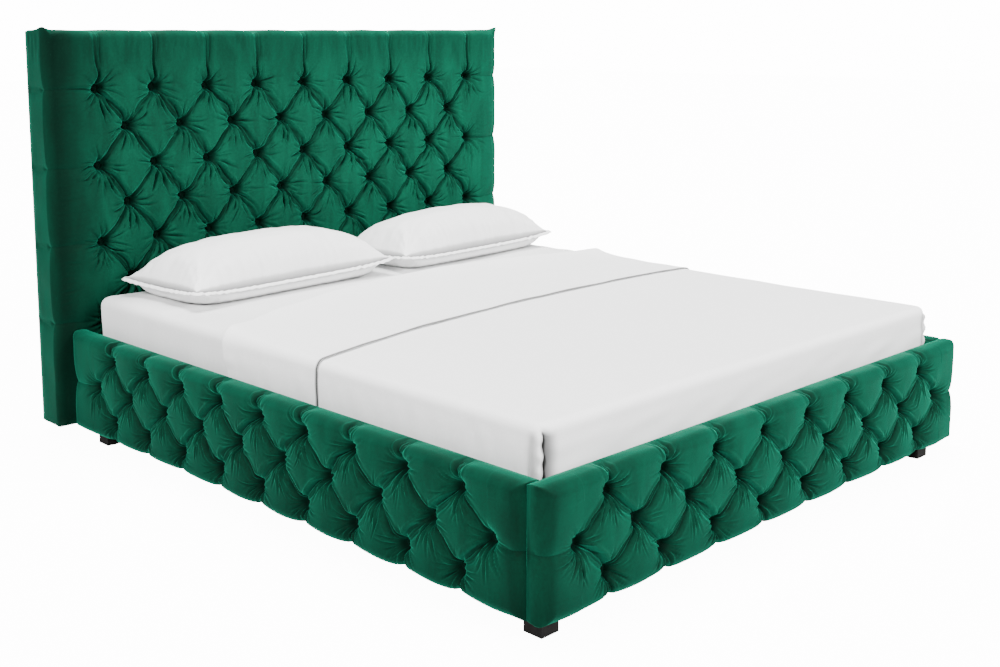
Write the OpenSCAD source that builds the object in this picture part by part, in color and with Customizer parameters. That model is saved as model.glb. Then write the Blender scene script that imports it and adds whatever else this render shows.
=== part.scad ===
// Upholstered platform bed with a deep-buttoned headboard, foot panel and side rails.
// Millimetres. +Z is up, +Y points to the headboard, +X to the right of someone standing
// at the foot and facing the headboard. The origin is on the floor under the middle of the bed.

/* [Mattress and bedding] */
// Width of the mattress
mattress_w = 1800; // [1350:50:2000]
// Length of the mattress
mattress_l = 2000; // [1900:50:2100]
// Thickness of the mattress
mattress_h = 230; // [180:5:260]
// Radius of the mattress corners, seen from above
mattress_corner_r = 45; // [20:5:80]
// Thickness of one layer of sheet
sheet_t = 2; // [1:0.5:4]
// Distance from the foot of the mattress to the fold of the flat sheet
turn_down_at = 1400; // [1000:50:1500]
// Width of the band that the flat sheet folds back
turn_down_w = 400; // [200:50:500]
// Length of a pillow
pillow_l = 830; // [600:10:840]
// Depth of a pillow
pillow_d = 410; // [380:10:470]
// Height of a pillow as it lies
pillow_h = 185; // [120:5:200]
// Height of a pillow's seam above the mattress
pillow_seam_z = 62; // [40:2:90]
// Width of the pillowcase's flat edge
pillow_edge_w = 14; // [10:1:30]
// Gap between the two pillows
pillow_gap = 8; // [4:1:20]
// Distance from the middle of the bed to the gap between the pillows
pillow_gap_x = 60; // [0:2:60]
// Gap between the left pillow and the headboard
pillow_head_gap = 16; // [10:2:60]
// Turn of the left pillow
pillow_turn = 4; // [0:1:5]

/* [Frame] */
// Height of the rails' underside above the floor
rail_bottom = 32; // [30:2:60]
// Height of the foot panel and side rails
rail_h = 316; // [300:4:340]
// Thickness of the rails' boards
board_t = 18; // [18:1:25]
// Thickness of the rails' padding, cover included
rail_pad_t = 46; // [44:2:60]
// Radius of the padded edges
edge_r = 20; // [12:2:24]
// Thickness of the velvet cover with its wadding
cover_t = 3; // [2:0.5:4]
// Gap between the made-up mattress and a side rail
side_gap = 15; // [8:1:20]
// Gap between the made-up mattress and the foot panel
foot_gap = 9; // [6:1:15]
// Gap between the mattress and the headboard
head_gap = 50; // [20:5:60]
// Thickness of the base plates that carry the legs
base_plate_t = 15; // [12:1:18]
// Width of the base plates that carry the legs
base_plate_w = 36; // [32:1:40]

/* [Headboard] */
// Width of the headboard
head_w = 2037; // [2020:1:2100]
// Height of the headboard's top above the floor
head_top = 1331; // [1300:1:1400]
// Thickness of the headboard's padding, cover included
head_pad_t = 59; // [56:1:70]
// Thickness of the headboard's front board
head_board_t = 12; // [9:1:18]
// Depth of the headboard's timber frame
head_frame_t = 68; // [45:1:80]
// Thickness of the headboard's back panel
head_back_t = 3; // [3:1:6]
// Thickness of the headboard's back cloth
head_cloth_t = 1; // [1:0.5:2]
// Width of the headboard frame's upright timbers
head_stile_w = 60; // [45:5:80]
// Height of the headboard frame's top and middle timbers
head_rail_h = 80; // [60:5:100]
// Height of the headboard frame's bottom timber
head_bottom_rail_h = 135; // [130:5:180]

/* [Buttons] */
// Number of buttons along the foot panel's middle row
foot_columns = 9; // [5:1:9]
// Distance between buttons along the foot panel
foot_pitch = 211; // [180:1:212]
// Number of buttons along a side rail's middle row
side_columns = 10; // [8:1:10]
// Distance between buttons along a side rail
side_pitch = 200; // [180:1:202]
// Distance from the foot panel to a side rail's first button
side_first = 109; // [100:1:120]
// Distance between the rows on the foot panel and side rails
rail_row_pitch = 98.5; // [90:0.5:100]
// Number of buttons in the headboard's long rows
head_columns = 9; // [7:1:9]
// Distance between buttons along the headboard
head_pitch = 209.3; // [190:0.1:210]
// Number of button rows on the headboard
head_rows = 7; // [3:2:7]
// Distance between the headboard's rows
head_row_pitch = 128; // [110:1:130]
// Height of the headboard's top row above the floor
head_top_row_z = 1143; // [1120:1:1160]
// Diameter of a covered button
button_d = 26; // [20:1:28]
// Height of a covered button's dome
button_h = 9; // [6:1:10]
// Depth of a button's pit in the foot panel and side rails
rail_pit = 40; // [30:1:41]
// Depth of a button's pit in the headboard
head_pit = 47; // [36:1:50]
// Diameter of a pit at the surface
pit_mouth_d = 44; // [36:1:50]
// Diameter of a pit at its bottom
pit_seat_d = 30; // [28:1:34]
// Diameter of the twine that holds a button
tie_d = 3; // [2:0.5:4]
// Diameter of the washer behind the board
tie_washer_d = 16; // [12:1:20]
// Thickness of the washer behind the board
tie_washer_t = 2; // [1:0.5:2]

/* [Slats] */
// Height of the slats above the rails' underside
slat_rise = 181; // [176:1:186]
// Number of slats on each side
slat_n = 14; // [10:1:16]
// Width of a slat
slat_w = 70; // [53:1:80]
// Thickness of a slat
slat_t = 15; // [10:1:18]
// Width of a slat ledger
ledger_w = 30; // [30:1:40]
// Height of a slat ledger
ledger_h = 38; // [30:1:38]
// Width of the centre rail
centre_w = 60; // [60:1:80]
// Height of the centre rail
centre_h = 70; // [60:1:80]
// Wall thickness of a slat end cap
cap_wall = 3; // [2:0.5:4]
// Length of a slat that sits in its cap
cap_grip = 26; // [20:1:26]
// Number of legs under the centre rail
centre_legs_n = 3; // [1:1:4]

/* [Legs] */
// Side of a square block leg
leg_w = 56; // [50:1:60]
// Distance from the middle of the bed to the front left leg
front_left_leg_x = 932; // [760:1:934]
// Distance from the middle of the bed to the front right leg
front_right_leg_x = 789; // [760:1:934]
// Distance from the foot panel to the rear legs
rear_leg_from_foot = 1896; // [1700:1:1980]
// Side of a centre leg
centre_leg_w = 45; // [40:1:55]
// Thickness of a glide under a leg
glide_t = 3; // [2:0.5:5]

/* [Fasteners] */
// Diameter of the bolts
bolt_d = 8; // [6:1:8]
// Diameter of a bolt's head
bolt_head_d = 16; // [14:1:18]
// Height of a bolt's head
bolt_head_h = 4; // [3:0.5:5]
// Length of a headboard bolt inside the headboard's timber
head_bolt_bite = 40; // [30:1:50]
// Length of a leg's bolt
leg_bolt_l = 38; // [32:1:40]
// Thickness of the steel brackets
bracket_t = 4; // [3:0.5:5]
// Length of a bracket's arm
bracket_arm = 60; // [50:1:60]
// Height of a bracket
bracket_h = 95; // [80:1:100]
// Height of the brackets' underside above the floor
bracket_z = 70; // [60:1:75]
// Distance from the edge of a bracket to its bolts
bracket_bolt_edge = 25; // [18:1:28]
// Diameter of the wood screws
screw_d = 5; // [4:0.5:6]
// Diameter of a wood screw's head
screw_head_d = 10; // [8:1:12]
// Number of screws in each slat ledger
ledger_screws_n = 8; // [4:1:12]

/* [Hidden] */
$fn = 48;
HULL_FN = 28;

// Gap left around a pillow, so that it lies free
soft_gap = 0.3;
// Clearance between a bolt and the holes that it only passes through
bolt_clearance = 0.5;
// Tee nut sizes
tee_barrel_d = bolt_d + 2;
tee_barrel_l = 12;
tee_flange_d = 22;
tee_flange_t = 1.5;

// The well that holds the mattress, and the panels around it
rail_t = board_t + rail_pad_t;
well_half_w = mattress_w / 2 + 2 * sheet_t + side_gap;
well_l = foot_gap + 2 * sheet_t + mattress_l + head_gap;
side_half_w = well_half_w + rail_t;
foot_w = 2 * (side_half_w - edge_r);
head_t = head_pad_t + head_board_t + head_frame_t + head_back_t + head_cloth_t;
overall_l = rail_t + well_l + head_t;
foot_y = -overall_l / 2 + rail_t;
head_y = foot_y + well_l;
back_y = overall_l / 2;
head_h = head_top - rail_bottom;

// Rows of buttons, measured up each panel from its underside
rail_middle_row = rail_h / 2;
head_first_row = head_top_row_z - rail_bottom - (head_rows - 1) * head_row_pitch;

// Levels
slat_bottom = rail_bottom + slat_rise;
slat_top = slat_bottom + slat_t;
ledger_top = slat_bottom - cap_wall;
mattress_top = slat_top + mattress_h;
fitted_top = mattress_top + sheet_t;
flat_top = fitted_top + sheet_t;
mattress_y = foot_y + foot_gap + 2 * sheet_t;
centre_bottom = ledger_top - centre_h;

// Slats
slat_pitch = well_l / slat_n;
cap_l = cap_grip + cap_wall + 1;
cap_w = slat_w + 2 * cap_wall;
slat_outer_x = well_half_w - cap_l + cap_grip;
slat_inner_x = centre_w / 2 - cap_grip;
peg_d = 8;
peg_l = 12;

// Fasteners
screw_l = ledger_w + board_t - 4;
ledger_screw_pitch = well_l / ledger_screws_n;
ledger_screw_edge = 7;
ledger_screw_z = ledger_top - ledger_h + ledger_screw_edge;
bracket_bolt_z = [bracket_z + bracket_bolt_edge, bracket_z + bracket_h - bracket_bolt_edge];
bolt_l = bracket_t + board_t - 2;
head_bolt_l = bracket_t + head_pad_t + head_board_t + head_bolt_bite;
hanger_w = 2 * centre_w;
hanger_h = 92;
// How far a hanger reaches below the centre rail
hanger_drop = 20;
hanger_z = centre_bottom - hanger_drop;
hanger_shelf = 60;
hanger_screw_rise = 10;
hanger_screw_z = centre_bottom + hanger_screw_rise;
hanger_screw_x = centre_w * 0.75;
foot_hanger_screw_l = bracket_t + board_t - 2;
head_hanger_screw_bite = 15;
head_hanger_screw_l = bracket_t + head_pad_t + head_board_t + head_hanger_screw_bite;
centre_bolt_l = 50;
side_leg_x = well_half_w + base_plate_w / 2;
foot_leg_y = foot_y - base_plate_w / 2;
rear_leg_y = foot_y + rear_leg_from_foot;
leg_places = [
    [-front_left_leg_x, foot_leg_y], [front_right_leg_x, foot_leg_y],
    [-side_leg_x, rear_leg_y], [side_leg_x, rear_leg_y]
];
centre_leg_ys = [for (i = [1:centre_legs_n]) foot_y + well_l * i / (centre_legs_n + 1)];

// Button places on a panel: [distance along, height above the underside].
// A row with an even offset from the middle row is long, the rows between are one shorter.
function row_places(count, pitch, z) = [for (i = [0:count - 1]) [(i - (count - 1) / 2) * pitch, z]];
function rail_places(count, pitch) = concat(
    row_places(count - 1, pitch, rail_middle_row - rail_row_pitch),
    row_places(count, pitch, rail_middle_row),
    row_places(count - 1, pitch, rail_middle_row + rail_row_pitch)
);
foot_places = rail_places(foot_columns, foot_pitch);
side_places = rail_places(side_columns, side_pitch);
head_places = [
    for (r = [0:head_rows - 1])
        for (p = row_places(head_columns - r % 2, head_pitch, head_first_row + r * head_row_pitch)) p
];
// Distance from the foot of a side rail to the middle of its button grid
side_grid_middle = side_first + (side_columns - 1) * side_pitch / 2;

// Colours
VELVET = [0.05, 0.42, 0.29];
BLACK_WOOD = [0.06, 0.05, 0.05];
LINEN = [0.93, 0.93, 0.93];
TIMBER = [0.76, 0.62, 0.43];
PLY = [0.80, 0.68, 0.50];
FOAM = [0.93, 0.88, 0.66];
STEEL = [0.62, 0.63, 0.65];
PLASTIC = [0.12, 0.12, 0.13];
CLOTH = [0.10, 0.10, 0.10];

// ---- Panels ----
// Every padded panel is drawn standing on z = 0 with its face on y = 0, its back on
// y = depth and its length along x, centred. These modules then put it in its place.

module at_foot() {
    translate([0, foot_y - rail_t, rail_bottom]) children();
}

module at_head() {
    translate([0, head_y, rail_bottom]) children();
}

module at_left_rail() {
    translate([-side_half_w, foot_y + well_l / 2, rail_bottom]) rotate([0, 0, -90]) children();
}

module at_right_rail() {
    mirror([1, 0, 0]) at_left_rail() children();
}

// The button grid of a side rail starts a set distance from the foot panel
module side_grid() {
    translate([well_l / 2 - side_grid_middle, 0, 0]) children();
}

// Panel body with rounded front edges: length w, height h, depth d
module rounded_panel(w, h, d, r) {
    intersection() {
        linear_extrude(h) rounded_front(w, d, r);
        translate([-w / 2, 0, h / 2]) rotate([90, 0, 90]) linear_extrude(w) rounded_side(h, d, r);
    }
}

// Plan of a panel: its front corners are rounded
module rounded_front(w, d, r) {
    translate([-w / 2 + r, 0]) square([w - 2 * r, d]);
    translate([-w / 2, r]) square([w, d - r]);
    for (s = [-1, 1]) translate([s * (w / 2 - r), r]) circle(r);
}

// Section of a panel: its top and bottom front corners are rounded
module rounded_side(h, d, r) {
    translate([0, -h / 2 + r]) square([d, h - 2 * r]);
    translate([r, -h / 2]) square([d - r, h]);
    for (s = [-1, 1]) translate([r, s * (h / 2 - r)]) circle(r);
}

// What the cover encloses
module panel_inside(w, h, d) {
    translate([0, cover_t, cover_t])
        rounded_panel(w - 2 * cover_t, h - 2 * cover_t, d - cover_t, edge_r - cover_t);
}

// One button pit, opening towards -y, wider by grow
module pit(depth, grow) {
    rotate([-90, 0, 0])
        cylinder(h = depth + grow, d1 = pit_mouth_d + 2 * grow, d2 = pit_seat_d + 2 * grow);
}

module at_places(places) {
    for (p = places) translate([p[0], 0, p[1]]) children();
}

// Padded cover: a skin over the front, top, underside and ends, dished at every button
module cover(w, h, d, depth) {
    difference() {
        union() {
            difference() {
                rounded_panel(w, h, d, edge_r);
                panel_inside(w, h, d);
            }
            at_button_grid(w) pit(depth, cover_t);
        }
        at_button_grid(w) {
            pit(depth, 0);
            translate([0, depth, 0]) rotate([-90, 0, 0]) cylinder(h = cover_t, d = tie_d);
        }
    }
}

// Picks the button grid that belongs to a panel of length w
module at_button_grid(w) {
    if (w == head_w) at_places(head_places) children();
    else if (w == foot_w) at_places(foot_places) children();
    else side_grid() at_places(side_places) children();
}

// Foam between the cover and the board, with a well for every pit
module foam(w, h, pad_t, depth) {
    difference() {
        panel_inside(w, h, pad_t);
        at_button_grid(w) {
            pit(depth, cover_t);
            translate([0, depth, 0]) rotate([-90, 0, 0]) cylinder(h = pad_t, d = tie_d);
        }
    }
}

// Twine and washer that hold each button to its board
module button_ties(w, depth, pad_t, board) {
    at_button_grid(w) {
        translate([0, depth, 0]) rotate([-90, 0, 0])
            cylinder(h = pad_t + board - depth - tie_washer_t, d = tie_d);
        translate([0, pad_t + board - tie_washer_t, 0]) rotate([-90, 0, 0])
            cylinder(h = tie_washer_t, d = tie_washer_d);
    }
}

// Holes in a board for the ties and their washers
module tie_holes(w, pad_t, board) {
    at_button_grid(w) {
        translate([0, pad_t, 0]) rotate([-90, 0, 0]) cylinder(h = board, d = tie_d);
        translate([0, pad_t + board - tie_washer_t, 0]) rotate([-90, 0, 0])
            cylinder(h = tie_washer_t, d = tie_washer_d);
    }
}

// Covered buttons, each a dome that stands on the seat of its pit
module buttons(w, depth) {
    at_button_grid(w) translate([0, depth, 0]) rotate([90, 0, 0]) rotate_extrude()
        polygon([
            [0, 0], [button_d / 2, 0], [button_d / 2, button_h * 0.3],
            [button_d * 0.4, button_h * 0.72], [button_d * 0.22, button_h * 0.95], [0, button_h]
        ]);
}

// ---- Headboard ----
head_in_w = head_w - 2 * cover_t;
head_in_h = head_h - 2 * cover_t;
head_frame_y = head_pad_t + head_board_t;

module headboard_stiles() {
    color(TIMBER) at_head() for (x = [-head_in_w / 2, -head_stile_w / 2, head_in_w / 2 - head_stile_w])
        translate([x, head_frame_y, cover_t + head_bottom_rail_h])
            cube([head_stile_w, head_frame_t, head_in_h - head_bottom_rail_h - head_rail_h]);
}

module headboard_rails() {
    middle_l = head_in_w / 2 - 1.5 * head_stile_w;
    middle_z = cover_t + (head_in_h + head_bottom_rail_h - 2 * head_rail_h) / 2;
    color(TIMBER) at_head() difference() {
        union() {
            translate([-head_in_w / 2, head_frame_y, cover_t])
                cube([head_in_w, head_frame_t, head_bottom_rail_h]);
            translate([-head_in_w / 2, head_frame_y, cover_t + head_in_h - head_rail_h])
                cube([head_in_w, head_frame_t, head_rail_h]);
            for (x = [head_stile_w / 2, -head_stile_w / 2 - middle_l])
                translate([x, head_frame_y, middle_z]) cube([middle_l, head_frame_t, head_rail_h]);
        }
        translate([0, 0, -rail_bottom]) {
            head_bolt_holes(bolt_d);
            head_screw_holes();
        }
    }
}

module headboard_board() {
    color(PLY) at_head() difference() {
        translate([-head_in_w / 2, head_pad_t, cover_t])
            cube([head_in_w, head_board_t, head_in_h]);
        tie_holes(head_w, head_pad_t, head_board_t);
        translate([0, 0, -rail_bottom]) {
            head_bolt_holes(bolt_d + 2 * bolt_clearance);
            head_screw_holes();
        }
    }
}

module headboard_foam() {
    color(FOAM) at_head() difference() {
        foam(head_w, head_h, head_pad_t, head_pit);
        translate([0, 0, -rail_bottom]) {
            head_bolt_holes(bolt_d + 2 * bolt_clearance);
            head_screw_holes();
        }
    }
}

module headboard_cover() {
    color(VELVET) at_head() difference() {
        cover(head_w, head_h, head_t - head_cloth_t, head_pit);
        translate([0, 0, -rail_bottom]) {
            head_bolt_holes(bolt_d + 2 * bolt_clearance);
            head_screw_holes();
        }
    }
}

module headboard_buttons() {
    color(VELVET) at_head() buttons(head_w, head_pit);
}

module headboard_button_ties() {
    color(STEEL) at_head() button_ties(head_w, head_pit, head_pad_t, head_board_t);
}

module headboard_back_panel() {
    color(PLY) at_head() translate([-head_in_w / 2, head_frame_y + head_frame_t, cover_t])
        cube([head_in_w, head_back_t, head_in_h]);
}

module headboard_back_cloth() {
    color(CLOTH) at_head() translate([-head_w / 2, head_t - head_cloth_t, 0])
        cube([head_w, head_cloth_t, head_h]);
}

// ---- Foot panel and side rails ----
// Boards stand on the base plates, and both are flush with the back of the panel

module rail_board(w) {
    difference() {
        translate([-w / 2 + cover_t, rail_pad_t, cover_t + base_plate_t])
            cube([w - 2 * cover_t, board_t, rail_h - 2 * cover_t - base_plate_t]);
        tie_holes(w, rail_pad_t, board_t);
    }
}

module base_plate(w) {
    translate([-w / 2 + cover_t, rail_t - base_plate_w, cover_t])
        cube([w - 2 * cover_t, base_plate_w, base_plate_t]);
}

module rail_foam(w) {
    difference() {
        foam(w, rail_h, rail_pad_t, rail_pit);
        base_plate(w);
    }
}

// Square hole left for the bracket bolts' tee nuts, seen from the inside of the bed
module tee_nut_holes() {
    rotate([-90, 0, 0]) {
        cylinder(h = board_t, d = tee_barrel_d);
        translate([0, 0, board_t - tee_flange_t]) cylinder(h = tee_flange_t, d = tee_flange_d);
    }
}

// Places of the bracket bolts: on the foot board, on the side boards
module foot_board_bolts() {
    for (s = [-1, 1], z = bracket_bolt_z)
        translate([s * (well_half_w - bracket_arm + bracket_bolt_edge), foot_y, z])
            rotate([0, 0, 180]) children();
}

module side_board_bolts(side) {
    for (y = [foot_y + bracket_arm - bracket_bolt_edge, head_y - bracket_arm + bracket_bolt_edge])
        for (z = bracket_bolt_z)
            translate([side * well_half_w, y, z]) rotate([0, 0, side * -90]) children();
}

module head_bolt_holes(d) {
    for (s = [-1, 1], z = bracket_bolt_z)
        translate([s * (well_half_w - bracket_arm + bracket_bolt_edge), 0, z])
            rotate([-90, 0, 0]) cylinder(h = head_bolt_l - bracket_t, d = d);
}

module head_screw_holes() {
    for (s = [-1, 1]) translate([s * hanger_screw_x, 0, hanger_screw_z])
        rotate([-90, 0, 0]) cylinder(h = head_hanger_screw_l - bracket_t, d = screw_d);
}

module foot_hanger_holes() {
    for (s = [-1, 1]) translate([s * hanger_screw_x, foot_y, hanger_screw_z])
        rotate([90, 0, 0]) cylinder(h = foot_hanger_screw_l - bracket_t, d = screw_d);
}

module foot_board() {
    color(PLY) difference() {
        at_foot() rail_board(foot_w);
        foot_board_bolts() tee_nut_holes();
        foot_hanger_holes();
    }
}

module leg_bolt_holes(places) {
    for (p = places) translate([p[0], p[1], rail_bottom]) cylinder(h = cover_t + base_plate_t, d = bolt_d);
}

module foot_base_plate() {
    color(TIMBER) difference() {
        at_foot() base_plate(foot_w);
        leg_bolt_holes([leg_places[0], leg_places[1]]);
    }
}

module foot_foam() {
    color(FOAM) at_foot() rail_foam(foot_w);
}

module foot_cover() {
    color(VELVET) difference() {
        at_foot() cover(foot_w, rail_h, rail_t, rail_pit);
        leg_bolt_holes([leg_places[0], leg_places[1]]);
    }
}

module foot_buttons() {
    color(VELVET) at_foot() buttons(foot_w, rail_pit);
}

module foot_button_ties() {
    color(STEEL) at_foot() button_ties(foot_w, rail_pit, rail_pad_t, board_t);
}

// The side rails are drawn for the left side and mirrored for the right side
module side_board() {
    difference() {
        at_left_rail() rail_board(well_l);
        side_board_bolts(-1) tee_nut_holes();
        ledger_screw_places(-1) rotate([0, 90, 0]) cylinder(h = screw_l - ledger_w, d = screw_d);
    }
}

module side_base_plate() {
    difference() {
        at_left_rail() base_plate(well_l);
        leg_bolt_holes([leg_places[2]]);
    }
}

module side_cover() {
    difference() {
        at_left_rail() cover(well_l, rail_h, rail_t, rail_pit);
        leg_bolt_holes([leg_places[2]]);
    }
}

module left_rail_board() { color(PLY) side_board(); }
module right_rail_board() { color(PLY) mirror([1, 0, 0]) side_board(); }
module left_rail_base_plate() { color(TIMBER) side_base_plate(); }
module right_rail_base_plate() { color(TIMBER) mirror([1, 0, 0]) side_base_plate(); }
module left_rail_foam() { color(FOAM) at_left_rail() rail_foam(well_l); }
module right_rail_foam() { color(FOAM) at_right_rail() rail_foam(well_l); }
module left_rail_cover() { color(VELVET) side_cover(); }
module right_rail_cover() { color(VELVET) mirror([1, 0, 0]) side_cover(); }
module left_rail_buttons() { color(VELVET) at_left_rail() buttons(well_l, rail_pit); }
module right_rail_buttons() { color(VELVET) at_right_rail() buttons(well_l, rail_pit); }

module left_rail_button_ties() {
    color(STEEL) at_left_rail() button_ties(well_l, rail_pit, rail_pad_t, board_t);
}

module right_rail_button_ties() {
    color(STEEL) at_right_rail() button_ties(well_l, rail_pit, rail_pad_t, board_t);
}

// ---- Slat base ----

// Places of the ledger screws on a side board's inner face, x pointing into the board
module ledger_screw_places(side) {
    for (i = [0:ledger_screws_n - 1])
        translate([
            side * well_half_w,
            foot_y + (i + 0.5) * ledger_screw_pitch,
            ledger_screw_z
        ])
            rotate([0, 0, side < 0 ? 180 : 0]) children();
}

function slat_y(i) = foot_y + (i + 0.5) * slat_pitch;

module ledger() {
    difference() {
        translate([-well_half_w, foot_y, ledger_top - ledger_h]) cube([ledger_w, well_l, ledger_h]);
        ledger_screw_places(-1) ledger_screw();
        for (i = [0:slat_n - 1])
            translate([-well_half_w + cap_l / 2, slat_y(i), ledger_top - peg_l])
                cylinder(h = peg_l, d = peg_d);
    }
}

module left_slat_ledger() { color(TIMBER) ledger(); }
module right_slat_ledger() { color(TIMBER) mirror([1, 0, 0]) ledger(); }

// Countersunk screw: its head lies flush with the ledger's inner face
module ledger_screw() {
    rotate([0, 90, 0]) {
        translate([0, 0, -ledger_w]) cylinder(h = screw_l, d = screw_d);
        translate([0, 0, -ledger_w]) cylinder(h = screw_d / 2, d1 = screw_head_d, d2 = screw_d);
    }
}

module ledger_screws() {
    color(STEEL) for (side = [-1, 1]) ledger_screw_places(side) ledger_screw();
}

module slats(side) {
    for (i = [0:slat_n - 1])
        translate([side > 0 ? slat_inner_x : -slat_outer_x, slat_y(i) - slat_w / 2, slat_bottom])
            cube([slat_outer_x - slat_inner_x, slat_w, slat_t]);
}

module left_slats() { color(PLY) slats(-1); }
module right_slats() { color(PLY) slats(1); }

// Cups that hold the slat ends: a peg below fits the ledger
module slat_end_caps() {
    color(PLASTIC) for (side = [0, 1]) mirror([side, 0, 0]) for (i = [0:slat_n - 1]) {
        difference() {
            translate([-well_half_w, slat_y(i) - cap_w / 2, ledger_top])
                cube([cap_l, cap_w, cap_wall + slat_t]);
            translate([-slat_outer_x, slat_y(i) - slat_w / 2, slat_bottom])
                cube([cap_l, slat_w, slat_t]);
        }
        translate([-well_half_w + cap_l / 2, slat_y(i), ledger_top - peg_l])
            cylinder(h = peg_l, d = peg_d);
    }
}

module slat_centre_caps() {
    color(PLASTIC) for (i = [0:slat_n - 1]) {
        difference() {
            translate([-centre_w / 2, slat_y(i) - cap_w / 2, ledger_top])
                cube([centre_w, cap_w, cap_wall + slat_t]);
            for (s = [0, 1]) mirror([s, 0, 0])
                translate([slat_inner_x, slat_y(i) - slat_w / 2, slat_bottom])
                    cube([centre_w, slat_w, slat_t]);
        }
        translate([0, slat_y(i), ledger_top - peg_l]) cylinder(h = peg_l, d = peg_d);
    }
}

module centre_rail() {
    color(TIMBER) difference() {
        translate([-centre_w / 2, foot_y + bracket_t, centre_bottom])
            cube([centre_w, well_l - 2 * bracket_t, centre_h]);
        for (i = [0:slat_n - 1])
            translate([0, slat_y(i), ledger_top - peg_l]) cylinder(h = peg_l, d = peg_d);
        for (y = centre_leg_ys) translate([0, y, centre_bottom])
            cylinder(h = centre_bolt_l / 2, d = bolt_d);
    }
}

// Steel plate with a shelf under the centre rail; drawn at the foot end
module hanger() {
    difference() {
        union() {
            translate([-hanger_w / 2, foot_y, hanger_z]) cube([hanger_w, bracket_t, hanger_h]);
            translate([-centre_w / 2, foot_y, centre_bottom - bracket_t])
                cube([centre_w, hanger_shelf, bracket_t]);
        }
        for (s = [-1, 1]) translate([s * hanger_screw_x, foot_y, hanger_screw_z])
            rotate([-90, 0, 0]) cylinder(h = bracket_t, d = screw_d);
    }
}

module centre_rail_hangers() {
    color(STEEL) {
        hanger();
        translate([0, foot_y + head_y, 0]) mirror([0, 1, 0]) hanger();
    }
}

// Pan-head screw or bolt along +z, its head below z = 0
module headed(shank_d, shank_l, head_d, head_h) {
    cylinder(h = shank_l, d = shank_d);
    translate([0, 0, -head_h]) cylinder(h = head_h, d = head_d);
}

module hanger_screws() {
    color(STEEL) for (s = [-1, 1]) {
        translate([s * hanger_screw_x, foot_y + bracket_t, hanger_screw_z]) rotate([90, 0, 0])
            headed(screw_d, foot_hanger_screw_l, screw_head_d, screw_d / 2);
        translate([s * hanger_screw_x, head_y - bracket_t, hanger_screw_z]) rotate([-90, 0, 0])
            headed(screw_d, head_hanger_screw_l, screw_head_d, screw_d / 2);
    }
}

// ---- Corner brackets and their bolts ----

// Angle bracket in the corner where a side rail meets the foot panel; left side, foot end
module angle_bracket() {
    difference() {
        translate([-well_half_w, foot_y, bracket_z]) union() {
            cube([bracket_arm, bracket_t, bracket_h]);
            cube([bracket_t, bracket_arm, bracket_h]);
        }
        for (z = bracket_bolt_z) {
            translate([-well_half_w + bracket_arm - bracket_bolt_edge, foot_y, z])
                rotate([-90, 0, 0]) cylinder(h = bracket_t, d = bolt_d);
            translate([-well_half_w, foot_y + bracket_arm - bracket_bolt_edge, z])
                rotate([0, 90, 0]) cylinder(h = bracket_t, d = bolt_d);
        }
    }
}

module foot_brackets() {
    color(STEEL) for (s = [0, 1]) mirror([s, 0, 0]) angle_bracket();
}

module headboard_brackets() {
    color(STEEL) for (s = [0, 1]) mirror([s, 0, 0])
        translate([0, foot_y + head_y, 0]) mirror([0, 1, 0]) angle_bracket();
}

module bracket_bolt() {
    translate([0, -bracket_t, 0]) rotate([-90, 0, 0])
        headed(bolt_d, bolt_l, bolt_head_d, bolt_head_h);
}

module bracket_bolts() {
    color(STEEL) {
        foot_board_bolts() bracket_bolt();
        for (side = [-1, 1]) side_board_bolts(side) bracket_bolt();
    }
}

module tee_nut() {
    rotate([-90, 0, 0]) difference() {
        union() {
            translate([0, 0, board_t - tee_barrel_l]) cylinder(h = tee_barrel_l, d = tee_barrel_d);
            translate([0, 0, board_t - tee_flange_t]) cylinder(h = tee_flange_t, d = tee_flange_d);
        }
        cylinder(h = board_t, d = bolt_d);
    }
}

module tee_nuts() {
    color(STEEL) {
        foot_board_bolts() tee_nut();
        for (side = [-1, 1]) side_board_bolts(side) tee_nut();
    }
}

module headboard_bolts() {
    color(STEEL) for (s = [-1, 1], z = bracket_bolt_z)
        translate([s * (well_half_w - bracket_arm + bracket_bolt_edge), head_y - bracket_t, z])
            rotate([-90, 0, 0]) headed(bolt_d, head_bolt_l, bolt_head_d, bolt_head_h);
}

// ---- Legs ----

module block_leg(place) {
    difference() {
        translate([place[0] - leg_w / 2, place[1] - leg_w / 2, glide_t])
            cube([leg_w, leg_w, rail_bottom - glide_t]);
        translate([place[0], place[1], rail_bottom + cover_t + base_plate_t - leg_bolt_l])
            cylinder(h = leg_bolt_l, d = bolt_d);
    }
}

module front_left_leg() { color(BLACK_WOOD) block_leg(leg_places[0]); }
module front_right_leg() { color(BLACK_WOOD) block_leg(leg_places[1]); }
module rear_left_leg() { color(BLACK_WOOD) block_leg(leg_places[2]); }
module rear_right_leg() { color(BLACK_WOOD) block_leg(leg_places[3]); }

module centre_legs() {
    color(BLACK_WOOD) for (y = centre_leg_ys) difference() {
        translate([-centre_leg_w / 2, y - centre_leg_w / 2, glide_t])
            cube([centre_leg_w, centre_leg_w, centre_bottom - glide_t]);
        translate([0, y, centre_bottom - centre_bolt_l / 2])
            cylinder(h = centre_bolt_l / 2, d = bolt_d);
    }
}

module leg_bolts() {
    color(STEEL) {
        for (p = leg_places) translate([p[0], p[1], rail_bottom + cover_t + base_plate_t - leg_bolt_l])
            cylinder(h = leg_bolt_l, d = bolt_d);
        for (y = centre_leg_ys) translate([0, y, centre_bottom - centre_bolt_l / 2])
            cylinder(h = centre_bolt_l, d = bolt_d);
    }
}

module leg_glides() {
    color(PLASTIC) {
        for (p = leg_places) translate([p[0], p[1], 0]) cylinder(h = glide_t, d = leg_w - 10);
        for (y = centre_leg_ys) translate([0, y, 0]) cylinder(h = glide_t, d = centre_leg_w - 8);
    }
}

// ---- Mattress and bedding ----

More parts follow.
